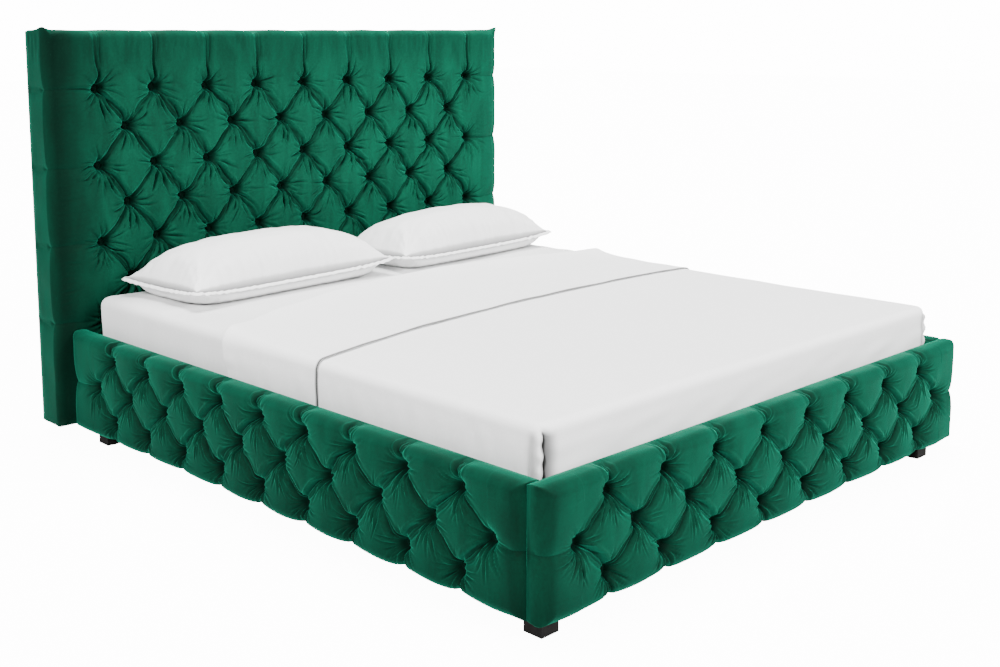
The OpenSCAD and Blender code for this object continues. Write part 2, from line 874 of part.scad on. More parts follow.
// Plan of the mattress, grown by grow on every side
module mattress_plan(grow) {
    w = mattress_w + 2 * grow;
    l = mattress_l + 2 * grow;
    r = mattress_corner_r + grow;
    translate([0, mattress_y + mattress_l / 2]) {
        square([w - 2 * r, l], center = true);
        square([w, l - 2 * r], center = true);
        for (x = [-1, 1], y = [-1, 1]) translate([x * (w / 2 - r), y * (l / 2 - r)]) circle(r);
    }
}

module mattress() {
    color([0.85, 0.85, 0.86]) translate([0, 0, slat_top]) linear_extrude(mattress_h) mattress_plan(0);
}

// Layer number n of the bedding, as a cap over the layers below, from y0 to y1
module sheet_layer(n, y0, y1) {
    intersection() {
        difference() {
            translate([0, 0, slat_top]) linear_extrude(mattress_h + n * sheet_t)
                mattress_plan(n * sheet_t);
            translate([0, 0, slat_top]) linear_extrude(mattress_h + (n - 1) * sheet_t)
                mattress_plan((n - 1) * sheet_t);
        }
        translate([-mattress_w, mattress_y + y0, 0]) cube([2 * mattress_w, y1 - y0, head_top]);
    }
}

module fitted_sheet() {
    color(LINEN) sheet_layer(1, -mattress_l, 2 * mattress_l);
}

// The flat sheet covers the foot end, and its head end is folded back on itself
module flat_sheet() {
    color(LINEN) {
        sheet_layer(2, -mattress_l, turn_down_at);
        sheet_layer(3, turn_down_at - turn_down_w, turn_down_at);
    }
}

// Body of a pillow, grown by grow: flat where it lies, full in the middle, thin at the seam
module pillow_body(grow) {
    seam_r = 6 + grow;
    hull() {
        for (x = [-1, 1], y = [-1, 1])
            translate([x * (pillow_l / 2 - pillow_edge_w - 18), y * (pillow_d / 2 - pillow_edge_w - 18), pillow_seam_z])
                sphere(r = seam_r, $fn = HULL_FN);
        translate([0, 0, sheet_t + pillow_h / 2])
            scale([pillow_l * 0.36 + grow, pillow_d * 0.37 + grow, pillow_h / 2 - sheet_t + grow])
                sphere(r = 1, $fn = HULL_FN);
        translate([0, 0, sheet_t - grow])
            scale([pillow_l * 0.40, pillow_d * 0.34, 1]) cylinder(h = 1, r = 1, $fn = HULL_FN);
    }
}

module pillowcase() {
    difference() {
        union() {
            pillow_body(sheet_t);
            translate([-pillow_l / 2, -pillow_d / 2, pillow_seam_z - sheet_t])
                cube([pillow_l, pillow_d, 2 * sheet_t]);
        }
        pillow_body(0);
    }
}

module at_left_pillow() {
    translate([left_pillow_x, pillow_y, fitted_top + soft_gap]) rotate([0, 0, pillow_turn]) children();
}

module at_right_pillow() {
    translate([right_pillow_x, pillow_y, fitted_top + soft_gap]) children();
}

// The pillows lie side by side, just in front of the headboard
pillow_y = head_y - pillow_head_gap - pillow_d / 2 * cos(pillow_turn) - pillow_l / 2 * sin(pillow_turn);
left_pillow_x = pillow_gap_x - pillow_gap / 2 - pillow_l / 2 * cos(pillow_turn) - pillow_d / 2 * sin(pillow_turn);
right_pillow_x = pillow_gap_x + pillow_gap / 2 + pillow_l / 2;

module left_pillow() { color(LINEN) at_left_pillow() pillow_body(0); }
module right_pillow() { color(LINEN) at_right_pillow() pillow_body(0); }
module left_pillowcase() { color(LINEN) at_left_pillow() pillowcase(); }
module right_pillowcase() { color(LINEN) at_right_pillow() pillowcase(); }

headboard_stiles();
headboard_rails();
headboard_board();
headboard_foam();
headboard_cover();
headboard_buttons();
headboard_button_ties();
headboard_back_panel();
headboard_back_cloth();
foot_board();
foot_base_plate();
foot_foam();
foot_cover();
foot_buttons();
foot_button_ties();
left_rail_board();
left_rail_base_plate();
left_rail_foam();
left_rail_cover();
left_rail_buttons();
left_rail_button_ties();
right_rail_board();
right_rail_base_plate();
right_rail_foam();
right_rail_cover();
right_rail_buttons();
right_rail_button_ties();
left_slat_ledger();
right_slat_ledger();
ledger_screws();
foot_brackets();
headboard_brackets();
bracket_bolts();
tee_nuts();
headboard_bolts();
centre_rail();
centre_rail_hangers();
hanger_screws();
left_slats();
right_slats();
slat_end_caps();
slat_centre_caps();
centre_legs();
front_left_leg();
front_right_leg();
rear_left_leg();
rear_right_leg();
leg_bolts();
leg_glides();
mattress();
fitted_sheet();
flat_sheet();
left_pillow();
left_pillowcase();
right_pillow();
right_pillowcase();
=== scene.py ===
import math

import bpy
import numpy as np
from bpy.props import (
    FloatProperty,
    FloatVectorProperty,
    IntProperty,
    PointerProperty,
)
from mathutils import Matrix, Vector


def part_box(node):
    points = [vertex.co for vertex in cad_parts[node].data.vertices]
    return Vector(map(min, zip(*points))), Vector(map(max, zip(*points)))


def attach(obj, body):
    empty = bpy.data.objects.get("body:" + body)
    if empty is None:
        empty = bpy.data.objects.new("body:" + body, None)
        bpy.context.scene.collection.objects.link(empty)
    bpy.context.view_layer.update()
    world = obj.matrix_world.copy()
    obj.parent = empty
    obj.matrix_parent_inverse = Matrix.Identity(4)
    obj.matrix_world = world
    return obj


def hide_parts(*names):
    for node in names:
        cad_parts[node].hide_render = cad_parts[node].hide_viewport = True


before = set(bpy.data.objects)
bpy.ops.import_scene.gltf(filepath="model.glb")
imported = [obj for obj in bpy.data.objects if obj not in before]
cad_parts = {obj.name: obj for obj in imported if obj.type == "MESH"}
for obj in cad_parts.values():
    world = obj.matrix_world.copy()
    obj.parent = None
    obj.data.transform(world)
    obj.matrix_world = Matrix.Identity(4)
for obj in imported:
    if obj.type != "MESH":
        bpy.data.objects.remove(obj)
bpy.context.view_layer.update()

bl_info = {
    "name": "Deep-Buttoned Bed",
    "version": (1, 0, 0),
    "blender": (4, 5, 0),
    "location": "3D View > Sidebar > Bed",
    "description": "Dresses a slatted bed in deep-buttoned velvet and white bedding",
    "category": "Add Mesh",
}

# Radius of a covered button, and of the made-up mattress's top edge and upright corners
BUTTON_RADIUS = 0.013
SOFT_EDGE = 0.022
SOFT_CORNER = 0.036

# Mesh lines round a panel's front edge, the space between those down its sides, and the lines
# along and across a pillow
EDGE_STEPS = 8
SIDE_SPACING = 0.007
PILLOW_LINES = (181, 101)

# How long a pillow's filling has to swell its case, in frames
SWELL_FRAMES = 12

# Thin spaces that keep the velvet just clear of the board and the buttons just out of their seats
BOARD_GAP = 0.0002
PIT_GAP = 0.0015

# The camera's place, its turn to the right and its tilt, both in degrees
CAMERA_PLACE = (-2.9533, -2.9768, 1.3369)
CAMERA_TURN = 45.054
CAMERA_TILT = -7.708

# Each light's direction, softness in degrees and strength
LIGHTS = {
    "Key": ((1.0, 0.42, -0.70), 14.0, 5.2),
    "Fill": ((-0.35, 1.0, -0.55), 30.0, 4.9),
    "Top": ((-0.12, -0.22, -1.0), 28.0, 7.5),
}


# ---------------------------------------------------------------- sizes from the frame

def low(node):
    """The lowest corner of a frame node's box."""
    return np.array(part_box(node)[0])


def high(node):
    """The highest corner of a frame node's box."""
    return np.array(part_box(node)[1])


def smooth_step(start, stop, value):
    """A soft change from 0 at start to 1 at stop; start may be the larger of the two."""
    t = np.clip((value - start) / (stop - start), 0.0, 1.0)
    return t * t * (3.0 - 2.0 * t)


def hump(value, width):
    """A soft bump of 1 at 0 that has faded out a little past width."""
    return np.exp(-(value / width) ** 2)


# ---------------------------------------------------------------- settings

class BedTuftingSettings(bpy.types.PropertyGroup):
    """How the velvet is drawn in and how it creases"""
    pleat_depth: FloatProperty(
        name="Pleat Depth", description="Depth of a pleat halfway between two buttons",
        default=0.021, min=0.004, max=0.03, subtype="DISTANCE", unit="LENGTH")
    puff_height: FloatProperty(
        name="Puff Height", description="How far the filling swells past the panel's face",
        default=0.004, min=0.0, max=0.012, subtype="DISTANCE", unit="LENGTH")
    edge_radius: FloatProperty(
        name="Edge Radius", description="Radius of the padded top and bottom front edges",
        default=0.026, min=0.01, max=0.04, subtype="DISTANCE", unit="LENGTH")
    end_radius: FloatProperty(
        name="End Radius", description="Radius of a panel's upright padded front edges",
        default=0.034, min=0.01, max=0.05, subtype="DISTANCE", unit="LENGTH")
    end_fall: FloatProperty(
        name="End Fall", description="How far a panel's face falls back towards its upright edges",
        default=0.020, min=0.0, max=0.03, subtype="DISTANCE", unit="LENGTH")
    crease_height: FloatProperty(
        name="Crease Height", description="Height of the fine creases round a button",
        default=0.0052, min=0.0, max=0.008, subtype="DISTANCE", unit="LENGTH")
    fold_height: FloatProperty(
        name="Fold Height", description="Depth of the second folds that follow a pleat",
        default=0.0088, min=0.0, max=0.016, subtype="DISTANCE", unit="LENGTH")
    corner_peak: FloatProperty(
        name="Corner Peak", description="How far the folded corners of the headboard stand up",
        default=0.013, min=0.0, max=0.02, subtype="DISTANCE", unit="LENGTH")
    creases: IntProperty(
        name="Creases", description="Number of fine creases round each button",
        default=26, min=0, max=40)
    head_lines: IntProperty(
        name="Headboard Detail", description="Mesh lines between two rows of headboard buttons",
        default=38, min=8, max=48)
    rail_lines: IntProperty(
        name="Rail Detail", description="Mesh lines between two rows of rail buttons",
        default=44, min=8, max=60)
    seed: IntProperty(
        name="Seed", description="Seed of the random creases", default=7, min=0, max=999)


class BedVelvetSettings(bpy.types.PropertyGroup):
    """Colours of the velvet"""
    pile: FloatVectorProperty(
        name="Pile Colour", description="Colour of the velvet seen straight on",
        default=(0.0008, 0.0150, 0.0080), size=3, min=0.0, max=1.0, subtype="COLOR")
    bloom: FloatVectorProperty(
        name="Bloom Colour", description="Colour of the light that the pile catches",
        default=(0.021, 0.56, 0.33), size=3, min=0.0, max=1.0, subtype="COLOR")


class BedLinenSettings(bpy.types.PropertyGroup):
    """How the bed is made"""
    cotton: FloatVectorProperty(
        name="Cotton Colour", description="Colour of the sheets and pillowcases",
        default=(0.84, 0.84, 0.84), size=3, min=0.0, max=1.0, subtype="COLOR")
    wave_height: FloatProperty(
        name="Wave Height", description="Height of the soft waves in the made-up sheets",
        default=0.0028, min=0.0, max=0.006, subtype="DISTANCE", unit="LENGTH")
    fold_radius: FloatProperty(
        name="Fold Radius", description="Roundness of the fold at the head end of the flat sheet",
        default=0.0095, min=0.002, max=0.012, subtype="DISTANCE", unit="LENGTH")
    pillow_height: FloatProperty(
        name="Pillow Height", description="Height of a pillow's middle above the sheet",
        default=0.176, min=0.12, max=0.2, subtype="DISTANCE", unit="LENGTH")
    pillow_seam: FloatProperty(
        name="Seam Height", description="Height of a pillow's corners above the sheet",
        default=0.060, min=0.03, max=0.09, subtype="DISTANCE", unit="LENGTH")
    pillow_turn: FloatProperty(
        name="Pillow Turn", description="How far the pillows are turned, in degrees",
        default=4.0, min=0.0, max=5.0)
    filling_pressure: FloatProperty(
        name="Filling Pressure", description="How hard a pillow's filling presses on its case",
        default=3.0, min=0.0, max=20.0)
    spare_cloth: FloatProperty(
        name="Spare Cloth", description="How much larger a pillowcase is than its filling",
        default=0.05, min=0.0, max=0.2, subtype="FACTOR")
    most_swell: FloatProperty(
        name="Most Swell", description="The furthest the filling may move the case",
        default=0.009, min=0.0, max=0.03, subtype="DISTANCE", unit="LENGTH")
    flange: FloatProperty(
        name="Flange", description="Width of the flat edge round a pillowcase",
        default=0.015, min=0.002, max=0.03, subtype="DISTANCE", unit="LENGTH")
    wrinkles: FloatProperty(
        name="Wrinkles", description="Height of the wrinkles in the pillowcases",
        default=0.0030, min=0.0, max=0.006, subtype="DISTANCE", unit="LENGTH")
    seed: IntProperty(
        name="Seed", description="Seed of the waves and wrinkles", default=4, min=0, max=999)


# ---------------------------------------------------------------- mesh helpers

def mesh_object(name, places, faces):
    """One smooth mesh object from an array of places and an array of triangles or quads."""
    places = np.asarray(places, dtype=np.float32)
    faces = np.asarray(faces, dtype=np.int32)
    mesh = bpy.data.meshes.new(name)
    mesh.vertices.add(len(places))
    mesh.vertices.foreach_set("co", places.ravel())
    mesh.loops.add(faces.size)
    mesh.loops.foreach_set("vertex_index", faces.ravel())
    mesh.polygons.add(len(faces))
    starts = np.arange(0, faces.size, faces.shape[1], dtype=np.int32)
    mesh.polygons.foreach_set("loop_start", starts)
    mesh.polygons.foreach_set("use_smooth", np.ones(len(faces), dtype=bool))
    mesh.update(calc_edges=True)
    mesh.validate()
    obj = bpy.data.objects.new(name, mesh)
    bpy.context.scene.collection.objects.link(obj)
    return obj


def paint_fold_shade(obj, values):
    """Keeps how much painted shade each point gets, in folds, gaps and pits; the material is painted
    darker there.
    """
    # The fold attribute holds the painted shade
    layer = obj.data.attributes.new("fold", "FLOAT", "POINT")
    layer.data.foreach_set("value", np.asarray(values, dtype=np.float32).ravel())


def put_material(obj, material):
    """Gives a whole piece one material."""
    obj.data.materials.clear()
    obj.data.materials.append(material)


def quads_of(index):
    """The quads between neighbouring points of a grid."""
    corners = [index[:-1, :-1], index[:-1, 1:], index[1:, 1:], index[1:, :-1]]
    return np.stack(corners, -1).reshape(-1, 4)


def rim_of(index):
    """The points round the edge of a grid, in order."""
    return np.concatenate([index[0, :-1], index[:-1, -1], index[-1, :0:-1], index[:0:-1, 0]])


def unit(vectors, least=1e-12):
    """The same directions, each of length 1."""
    return vectors / np.maximum(np.linalg.norm(vectors, axis=-1, keepdims=True), least)


# ---------------------------------------------------------------- tufted panels

class PaddedPanel:
    """One deep-buttoned panel: its place, its size and its button grid, all from the frame.

    Its own axes are x along it, z up from its middle and t from its face to its back. The grid
    has a button on every other crossing, and longest is the count in its longest row.
    """

    def __init__(self, name, prefix, along, inward, longest, rows):
        cover, buttons = prefix + "_cover", prefix + "_buttons"
        self.name = name
        self.nodes = (cover, prefix + "_foam")
        self.buttons_node = buttons
        self.along = np.array(along)
        self.inward = np.array(inward)
        axis = int(np.argmax(np.abs(self.along)))
        across = 1 - axis
        front, back = (low, high) if self.inward[across] > 0.0 else (high, low)
        size = high(cover) - low(cover)
        centre = (low(cover) + high(cover)) / 2.0
        face = front(cover)[across]
        self.origin = centre.copy()
        self.origin[across] = face
        self.length, self.depth, self.height = size[axis], size[across], size[2]
        # Behind the face: the board, the back of the velvet and the bottom of the pits
        self.pad = abs(front(prefix + "_board")[across] - face)
        self.cover = abs(front(prefix + "_foam")[across] - face)
        self.pit = abs(back(buttons)[across] - face)
        # The crossing at the lowest corner of the grid, and the steps from there
        way = self.along[axis]
        start = (low if way > 0.0 else high)(buttons)[axis] + way * BUTTON_RADIUS
        span = high(buttons) - low(buttons) - 2.0 * BUTTON_RADIUS
        self.cells = 2 * (longest - 1)
        self.rows = rows
        self.first = (start - centre[axis]) * way
        self.row = low(buttons)[2] + BUTTON_RADIUS - centre[2]
        self.pitch = span[axis] / self.cells
        self.row_pitch = span[2] / (rows - 1)
        # The headboard is pulled harder than the low panels, so its creases are longer and
        # coarser, its ends fall back further and its cover turns more tightly at the back
        self.is_headboard = rows > 3
        self.crease_tall = 1.5 if self.is_headboard else 0.8
        self.crease_long = 1.0 if self.is_headboard else 0.8
        self.crease_wide = 1.5 if self.is_headboard else 1.05
        self.end_fall = 1.0 if self.is_headboard else 0.2
        self.back_turn = 0.0015 if self.is_headboard else 0.0045

    def has_button(self, column, row):
        """A headboard's lowest row is a long one; a low panel's long row is the middle one."""
        return (column + row + (0 if self.is_headboard else 1)) % 2 == 0

    def buttons(self):
        """Every button as its place along and up the panel, and its column and row."""
        return [(self.first + c * self.pitch, self.row + r * self.row_pitch, c, r)
                for r in range(self.rows) for c in range(self.cells + 1) if self.has_button(c, r)]

    def world(self, x, z, t):
        """Turns places on the panel's own axes into places in the bed's frame."""
        up = np.array((0.0, 0.0, 1.0))
        return (self.origin + x[..., None] * self.along + z[..., None] * up
                + t[..., None] * self.inward)


def graded(start, stop, fine, coarse):
    """Places from start to stop, close together at first. The start is left out."""
    span = abs(stop - start)
    steps = [fine]
    while sum(steps) < span:
        steps.append(min(steps[-1] * 1.13, coarse))
    steps = np.cumsum(steps)
    return start + (stop - start) * steps / steps[-1]


def panel_axis(size, radius, first, cells, pitch, lines):
    """Mesh lines along one side of a panel: place, length along the cloth, turn of the edge, cell."""
    even = np.arange(lines) / lines
    eased = even - 0.30 * np.sin(2.0 * math.pi * even) / (2.0 * math.pi)
    last = first + cells * pitch
    grid = np.append(first + pitch * (np.arange(cells)[:, None] + eased).ravel(), last)
    fine, coarse = 0.6 * pitch / lines, 0.0065
    edge = size / 2 - radius
    before = graded(first, -edge, fine, coarse)[::-1]
    flat = np.concatenate([before, grid, graded(last, edge, fine, coarse)])
    arc = np.linspace(0.0, math.pi / 2.0, EDGE_STEPS + 1)[1:]
    bent = edge + radius * np.sin(arc)
    place = np.concatenate([-bent[::-1], flat, bent])
    cloth = np.concatenate([-(edge + radius * arc[::-1]), flat, edge + radius * arc])
    turn = np.concatenate([-arc[::-1], np.zeros(len(flat)), arc])
    cell = np.full(len(place), -1)
    start = EDGE_STEPS + len(before)
    cell[start:start + cells * lines] = np.repeat(np.arange(cells), lines)
    return place, cloth, turn, cell


def gentle_noise(a, b, scale, rng, waves=7):
    """A smooth uneven value of about -1 to 1."""
    total = np.zeros_like(a)
    for _ in range(waves):
        angle = rng.uniform(0.0, 2.0 * math.pi)
        rate = 2.0 * math.pi / (scale * rng.uniform(0.7, 1.5))
        phase = rng.uniform(0.0, 2.0 * math.pi)
        total += np.sin((a * math.cos(angle) + b * math.sin(angle)) * rate + phase)
    return total / math.sqrt(waves / 2.0) / 2.0


def pleats_of(panel, mid):
    """Every pleat as (start, end, depth at the start, halfway, at the end, reach to the sides).

    mid is the depth halfway between two buttons. A pleat that runs out over an edge gets
    shallower towards it, and ends beyond it.
    """
    pleats = []
    reach = 0.97 * panel.pitch * panel.row_pitch / math.hypot(panel.pitch, panel.row_pitch)
    top = panel.height / 2
    side = panel.length / 2 + panel.depth + 0.05
    pit = panel.pit
    for x, z, c, r in panel.buttons():
        for dc in (-1, 1):
            if 0 <= c + dc <= panel.cells and r + 1 < panel.rows:
                end = (x + dc * panel.pitch, z + panel.row_pitch)
                # The pleats that rise to the right are folded less deep than the others
                pleats.append(((x, z), end, pit, mid * (1.0 if dc < 0 else 0.78), pit, reach))
        if r == panel.rows - 1:
            pleats.append(((x, z), (x, top + 0.075), pit, mid * 0.62, mid * 0.34, 0.080))
        if r == 0 and not panel.is_headboard:
            pleats.append(((x, z), (x, -top - 0.060), pit, mid * 0.62, mid * 0.34, 0.075))
        if c in (0, panel.cells):
            end = (-side if c == 0 else side, z)
            pleats.append(((x, z), end, pit, mid * 0.42, mid * 0.36, 0.08))
    return pleats


def within(s, w, across, up, reach):
    """Which points of the cloth lie within reach of a span across and up the panel."""
    return ((s > min(across) - reach) & (s < max(across) + reach)
            & (w > min(up) - reach) & (w < max(up) + reach))


def groove(aside, width, shoulder, place, spread_out):
    """A crease seen across: a sharp groove with a low shoulder on each side."""
    rise = shoulder * hump(aside - place * width, spread_out * width)
    return rise - np.exp(-aside / width)


def draw_in(s, w, panel, mid):
    """How far the cloth is drawn in by pleats and pits, and how close it is to a pleat."""
    blend = 4.0
    pit_fall = 0.0125
    roundness = 0.955
    crevice_width = 0.0032
    deepest_arc = 1.0 - math.sqrt(1.0 - roundness ** 2)
    total = np.zeros_like(s)
    crevice = np.zeros_like(s)
    for (x0, z0), (x1, z1), d0, dm, d1, reach in pleats_of(panel, mid):
        near = within(s, w, (x0, x1), (z0, z1), reach)
        a, b = s[near] - x0, w[near] - z0
        length = math.hypot(x1 - x0, z1 - z0)
        ux, uz = (x1 - x0) / length, (z1 - z0) / length
        run = np.clip(a * ux + b * uz, 0.0, length)
        aside = np.hypot(a - run * ux, b - run * uz)
        rise_again = (np.exp(-(length - run) / pit_fall) if d1 > dm
                      else smooth_step(0.4, 1.0, run / length))
        deep = dm + (d0 - dm) * np.exp(-run / pit_fall) + (d1 - dm) * rise_again
        q = 1.0 - np.clip(aside / reach, 0.0, 1.0)
        arc = (1.0 - np.sqrt(1.0 - (roundness * q) ** 2)) / deepest_arc
        total[near] += (deep * (0.8 * arc + 0.2 * q ** 5)) ** blend
        inside = np.clip(deep / mid, 0.0, 1.0) * np.exp(-aside / crevice_width)
        crevice[near] = np.maximum(crevice[near], inside)
    for x, z, _, _ in panel.buttons():
        near = within(s, w, (x, x), (z, z), 0.11)
        past = np.maximum(np.hypot(s[near] - x, w[near] - z) - BUTTON_RADIUS + 0.0005, 0.0)
        pit = panel.pit * (0.46 * np.exp(-past / 0.0085) + 0.54 * np.exp(-past / 0.024))
        total[near] += pit ** blend
    return np.minimum(total ** (1.0 / blend), panel.pit), crevice


def fine_creases(s, w, panel, count, size, rng):
    """Creases that fan out from every button, most of them downwards."""
    lift = np.zeros_like(s)
    for x, z, _, _ in panel.buttons():
        near = within(s, w, (x, x), (z, z), 0.15)
        dx, dz = s[near] - x, w[near] - z
        r = np.hypot(dx, dz)
        angle = np.arctan2(dz, dx)
        here = np.zeros_like(r)
        for k in range(count):
            toward = 2.0 * math.pi * (k + rng.uniform(-0.35, 0.35)) / count
            toward -= 0.55 * math.cos(toward)
            below = 0.5 - 0.5 * math.sin(toward)
            long = rng.uniform(0.058, 0.092) + below * rng.uniform(0.0, 0.045)
            long *= panel.crease_long
            wide = rng.uniform(0.0018, 0.0029) * panel.crease_wide
            tall = size * rng.uniform(0.45, 1.2) * (0.70 + 0.45 * below)
            bend = rng.normal(0.0, 0.15)
            turn = angle - toward - bend * (r / 0.06)
            turn = (turn + math.pi) % (2.0 * math.pi) - math.pi
            fade = smooth_step(0.010, 0.026, r) * (1.0 - smooth_step(0.35 * long, 1.15 * long, r))
            shape = groove(np.abs(r * turn), wide, 0.6, 2.4, 1.4)
            here += np.where(np.abs(turn) < 0.9, tall * fade * shape, 0.0)
        lift[near] += here
    return lift


def second_folds(s, w, panel, size, mid, rng):
    """Folds that leave a pleat at one button, bow out and meet it again at the next."""
    lift = np.zeros_like(s)
    for (x0, z0), (x1, z1), d0, _, d1, _ in pleats_of(panel, mid):
        if x0 != x1 and z0 == z1:
            continue
        length = math.hypot(x1 - x0, z1 - z0)
        ux, uz = (x1 - x0) / length, (z1 - z0) / length
        near = within(s, w, (x0, x1), (z0, z1), 0.03)
        a, b = s[near] - x0, w[near] - z0
        run = a * ux + b * uz
        aside = b * ux - a * uz
        share = np.clip(run / length, 0.0, 1.0)
        whole = d1 >= d0
        here = np.zeros_like(a)
        for k in range(3):
            side = 1.0 if (k < 2) == (ux >= 0.0) else -1.0
            bow = side * (0.0075 + 0.0065 * k * (k < 2)) * rng.uniform(0.8, 1.25)
            tall = size * rng.uniform(0.55, 1.15) * (1.0, 0.7, 0.55)[k]
            wide = rng.uniform(0.0034, 0.0048)
            fade = smooth_step(0.010, 0.030, run)
            if whole:
                path = bow * np.sin(math.pi * share ** 0.8)
                fade *= smooth_step(0.008, 0.035, length - run)
            else:
                path = bow * smooth_step(0.0, 0.5, share)
                fade *= 1.0 - 0.8 * smooth_step(0.3, 0.9, share)
            here += tall * fade * groove(np.abs(aside - path), wide, 0.45, 2.3, 1.3)
        lift[near] += here
    return lift


def edge_gathers(s, w, panel, rng):
    """Fine gathers where the headboard's cover is pulled over the top and the two ends."""
    from_top = panel.height / 2 - w
    from_side = panel.length / 2 - np.abs(s)
    top = gentle_noise(s, w * 0.12, 0.020, rng, 11) * (0.6 + 0.4 * gentle_noise(s, w, 0.12, rng))
    side = gentle_noise(s * 0.12, w, 0.017, rng, 11) * (0.6 + 0.4 * gentle_noise(s, w, 0.12, rng))
    top *= smooth_step(0.0, 0.03, from_top) * (1.0 - smooth_step(0.05, 0.14, from_top))
    side *= smooth_step(0.0, 0.03, from_side) * (1.0 - smooth_step(0.05, 0.16, from_side))
    return 0.0016 * top + 0.0010 * side


class PanelCloth:
    """The points of a panel's cloth, flat over its face and on round its four sides.

    x, z and t are their places on the panel's axes. s and w run along and up the cloth itself,
    and normal points out of the pad. The face is a grid, whose rim lies on the sides told by
    out_x and out_z, and loops are the rings of points from that rim to the back.
    """

    def __init__(self, panel, settings):
        end_radius, radius = settings.end_radius, settings.edge_radius
        lines = settings.head_lines if panel.is_headboard else settings.rail_lines
        x, xs, xt, self.column = panel_axis(panel.length, end_radius, panel.first, panel.cells,
                                            panel.pitch, lines)
        z, zs, zt, self.line = panel_axis(panel.height, radius, panel.row, panel.rows - 1,
                                          panel.row_pitch, lines)
        gx, gz = [g.ravel() for g in np.meshgrid(x, z)]
        gs, gw = [g.ravel() for g in np.meshgrid(xs, zs)]
        ax, az = [g.ravel() for g in np.meshgrid(xt, zt)]
        gt = np.maximum(end_radius * (1.0 - np.cos(ax)), radius * (1.0 - np.cos(az)))
        facing = unit(np.stack([np.sin(ax), np.sin(az), -np.cos(ax) * np.cos(az)], -1), 1e-9)

        self.index = np.arange(len(gx)).reshape(len(z), len(x))
        ring = rim_of(self.index)
        self.rim_x, self.rim_z = gx[ring], gz[ring]
        self.out_x = np.where(np.isclose(np.abs(gx[ring]), panel.length / 2), np.sign(gx[ring]), 0.0)
        self.out_z = np.where(np.isclose(np.abs(gz[ring]), panel.height / 2), np.sign(gz[ring]), 0.0)
        near_back = panel.depth - panel.back_turn
        layers = max(5, int(round((panel.depth - radius) / SIDE_SPACING)))
        depths = [gt[ring] + (near_back - gt[ring]) * k / layers for k in range(1, layers + 1)]
        depths += [np.full(len(ring), near_back + panel.back_turn * share)
                   for share in (0.5, 0.85, 1.0)]
        layers = len(depths)
        both = np.maximum(np.hypot(self.out_x, self.out_z), 1e-9)
        outward = np.stack([self.out_x / both, self.out_z / both, np.zeros(len(ring))], -1)

        self.x = np.concatenate([gx] + [gx[ring]] * layers)
        self.z = np.concatenate([gz] + [gz[ring]] * layers)
        self.t = np.concatenate([gt] + depths)
        self.s = np.concatenate([gs] + [gs[ring] + self.out_x * (t - gt[ring]) for t in depths])
        self.w = np.concatenate([gw] + [gw[ring] + self.out_z * (t - gt[ring]) for t in depths])
        self.normal = np.concatenate([facing] + [outward] * layers)
        self.loops = [ring] + [len(gx) + k * len(ring) + np.arange(len(ring))
                               for k in range(layers)]


def crease_cloth(cloth, panel, settings, rng):
    """The height of every crease, fold and gather of a panel's cloth."""
    tall = settings.crease_height * panel.crease_tall
    creases = fine_creases(cloth.s, cloth.w, panel, settings.creases, tall, rng)
    creases += second_folds(cloth.s, cloth.w, panel, settings.fold_height,
                            settings.pleat_depth, rng)
    creases *= 0.25 + 0.75 * smooth_step(0.0, 0.040, cloth.z + panel.height / 2)
    if panel.is_headboard:
        creases += edge_gathers(cloth.s, cloth.w, panel, rng)
    return creases


def how_far_out(cloth, panel, settings, drawn, uneven, hold, from_end):
    """How far each point of the cloth stands out from the plain pad, or is pulled into it."""
    swell = settings.puff_height * (1.0 - np.clip(drawn / settings.pleat_depth, 0.0, 1.0)) ** 0.8
    fall = settings.end_fall * panel.end_fall * hump(from_end, 0.055)
    swell -= fall * np.maximum(-cloth.normal[:, 2], 0.0)
    # The underside is stretched flat
    radius = settings.edge_radius
    flat_below = 1.0 - smooth_step(radius - 0.004, radius + 0.012, cloth.t)
    hold = hold * np.where(cloth.z < -panel.height / 2 + 1e-4, flat_below, 1.0)
    # Over the board the cloth lies flat on the timber and can only dip by its own thickness
    over_board = smooth_step(panel.pad - 0.022, panel.pad - 0.004, cloth.t)
    deepest = panel.pit + (0.8 * panel.cover - panel.pit) * over_board
    close = np.clip((cloth.t - panel.depth + panel.back_turn) / panel.back_turn, 0.0, 1.0)
    turned = panel.back_turn * (1.0 - np.sqrt(1.0 - close ** 2))
    return np.maximum(swell - drawn + uneven, -deepest) * hold - turned


def wander_pleats(cloth, panel, rng):
    """Lets the pleats wander a little between the buttons."""
    free = np.ones_like(cloth.s)
    for x, z, _, _ in panel.buttons():
        near = within(cloth.s, cloth.w, (x, x), (z, z), 0.12)
        free[near] *= 1.0 - hump(np.hypot(cloth.s[near] - x, cloth.w[near] - z), 0.035)
    inside = (smooth_step(0.0, 0.05, panel.length / 2 - np.abs(cloth.x))
              * smooth_step(0.0, 0.05, panel.height / 2 - np.abs(cloth.z)))
    wander = 0.0045 * free * inside
    cloth.x += wander * gentle_noise(cloth.s, cloth.w, 0.13, rng)
    cloth.z += wander * gentle_noise(cloth.s, cloth.w, 0.13, rng)


def raise_corners(cloth, panel, settings, hold):
    """Lets the headboard's two top corners stand up a little."""
    beside = np.hypot(panel.length / 2 - np.abs(cloth.x),
                      np.minimum(panel.height / 2 - cloth.z, 0.2))
    behind = np.maximum(cloth.t - 0.5 * settings.end_radius, 0.0)
    cloth.z += settings.corner_peak * hump(np.hypot(beside, behind * 0.45), 0.017) * hold


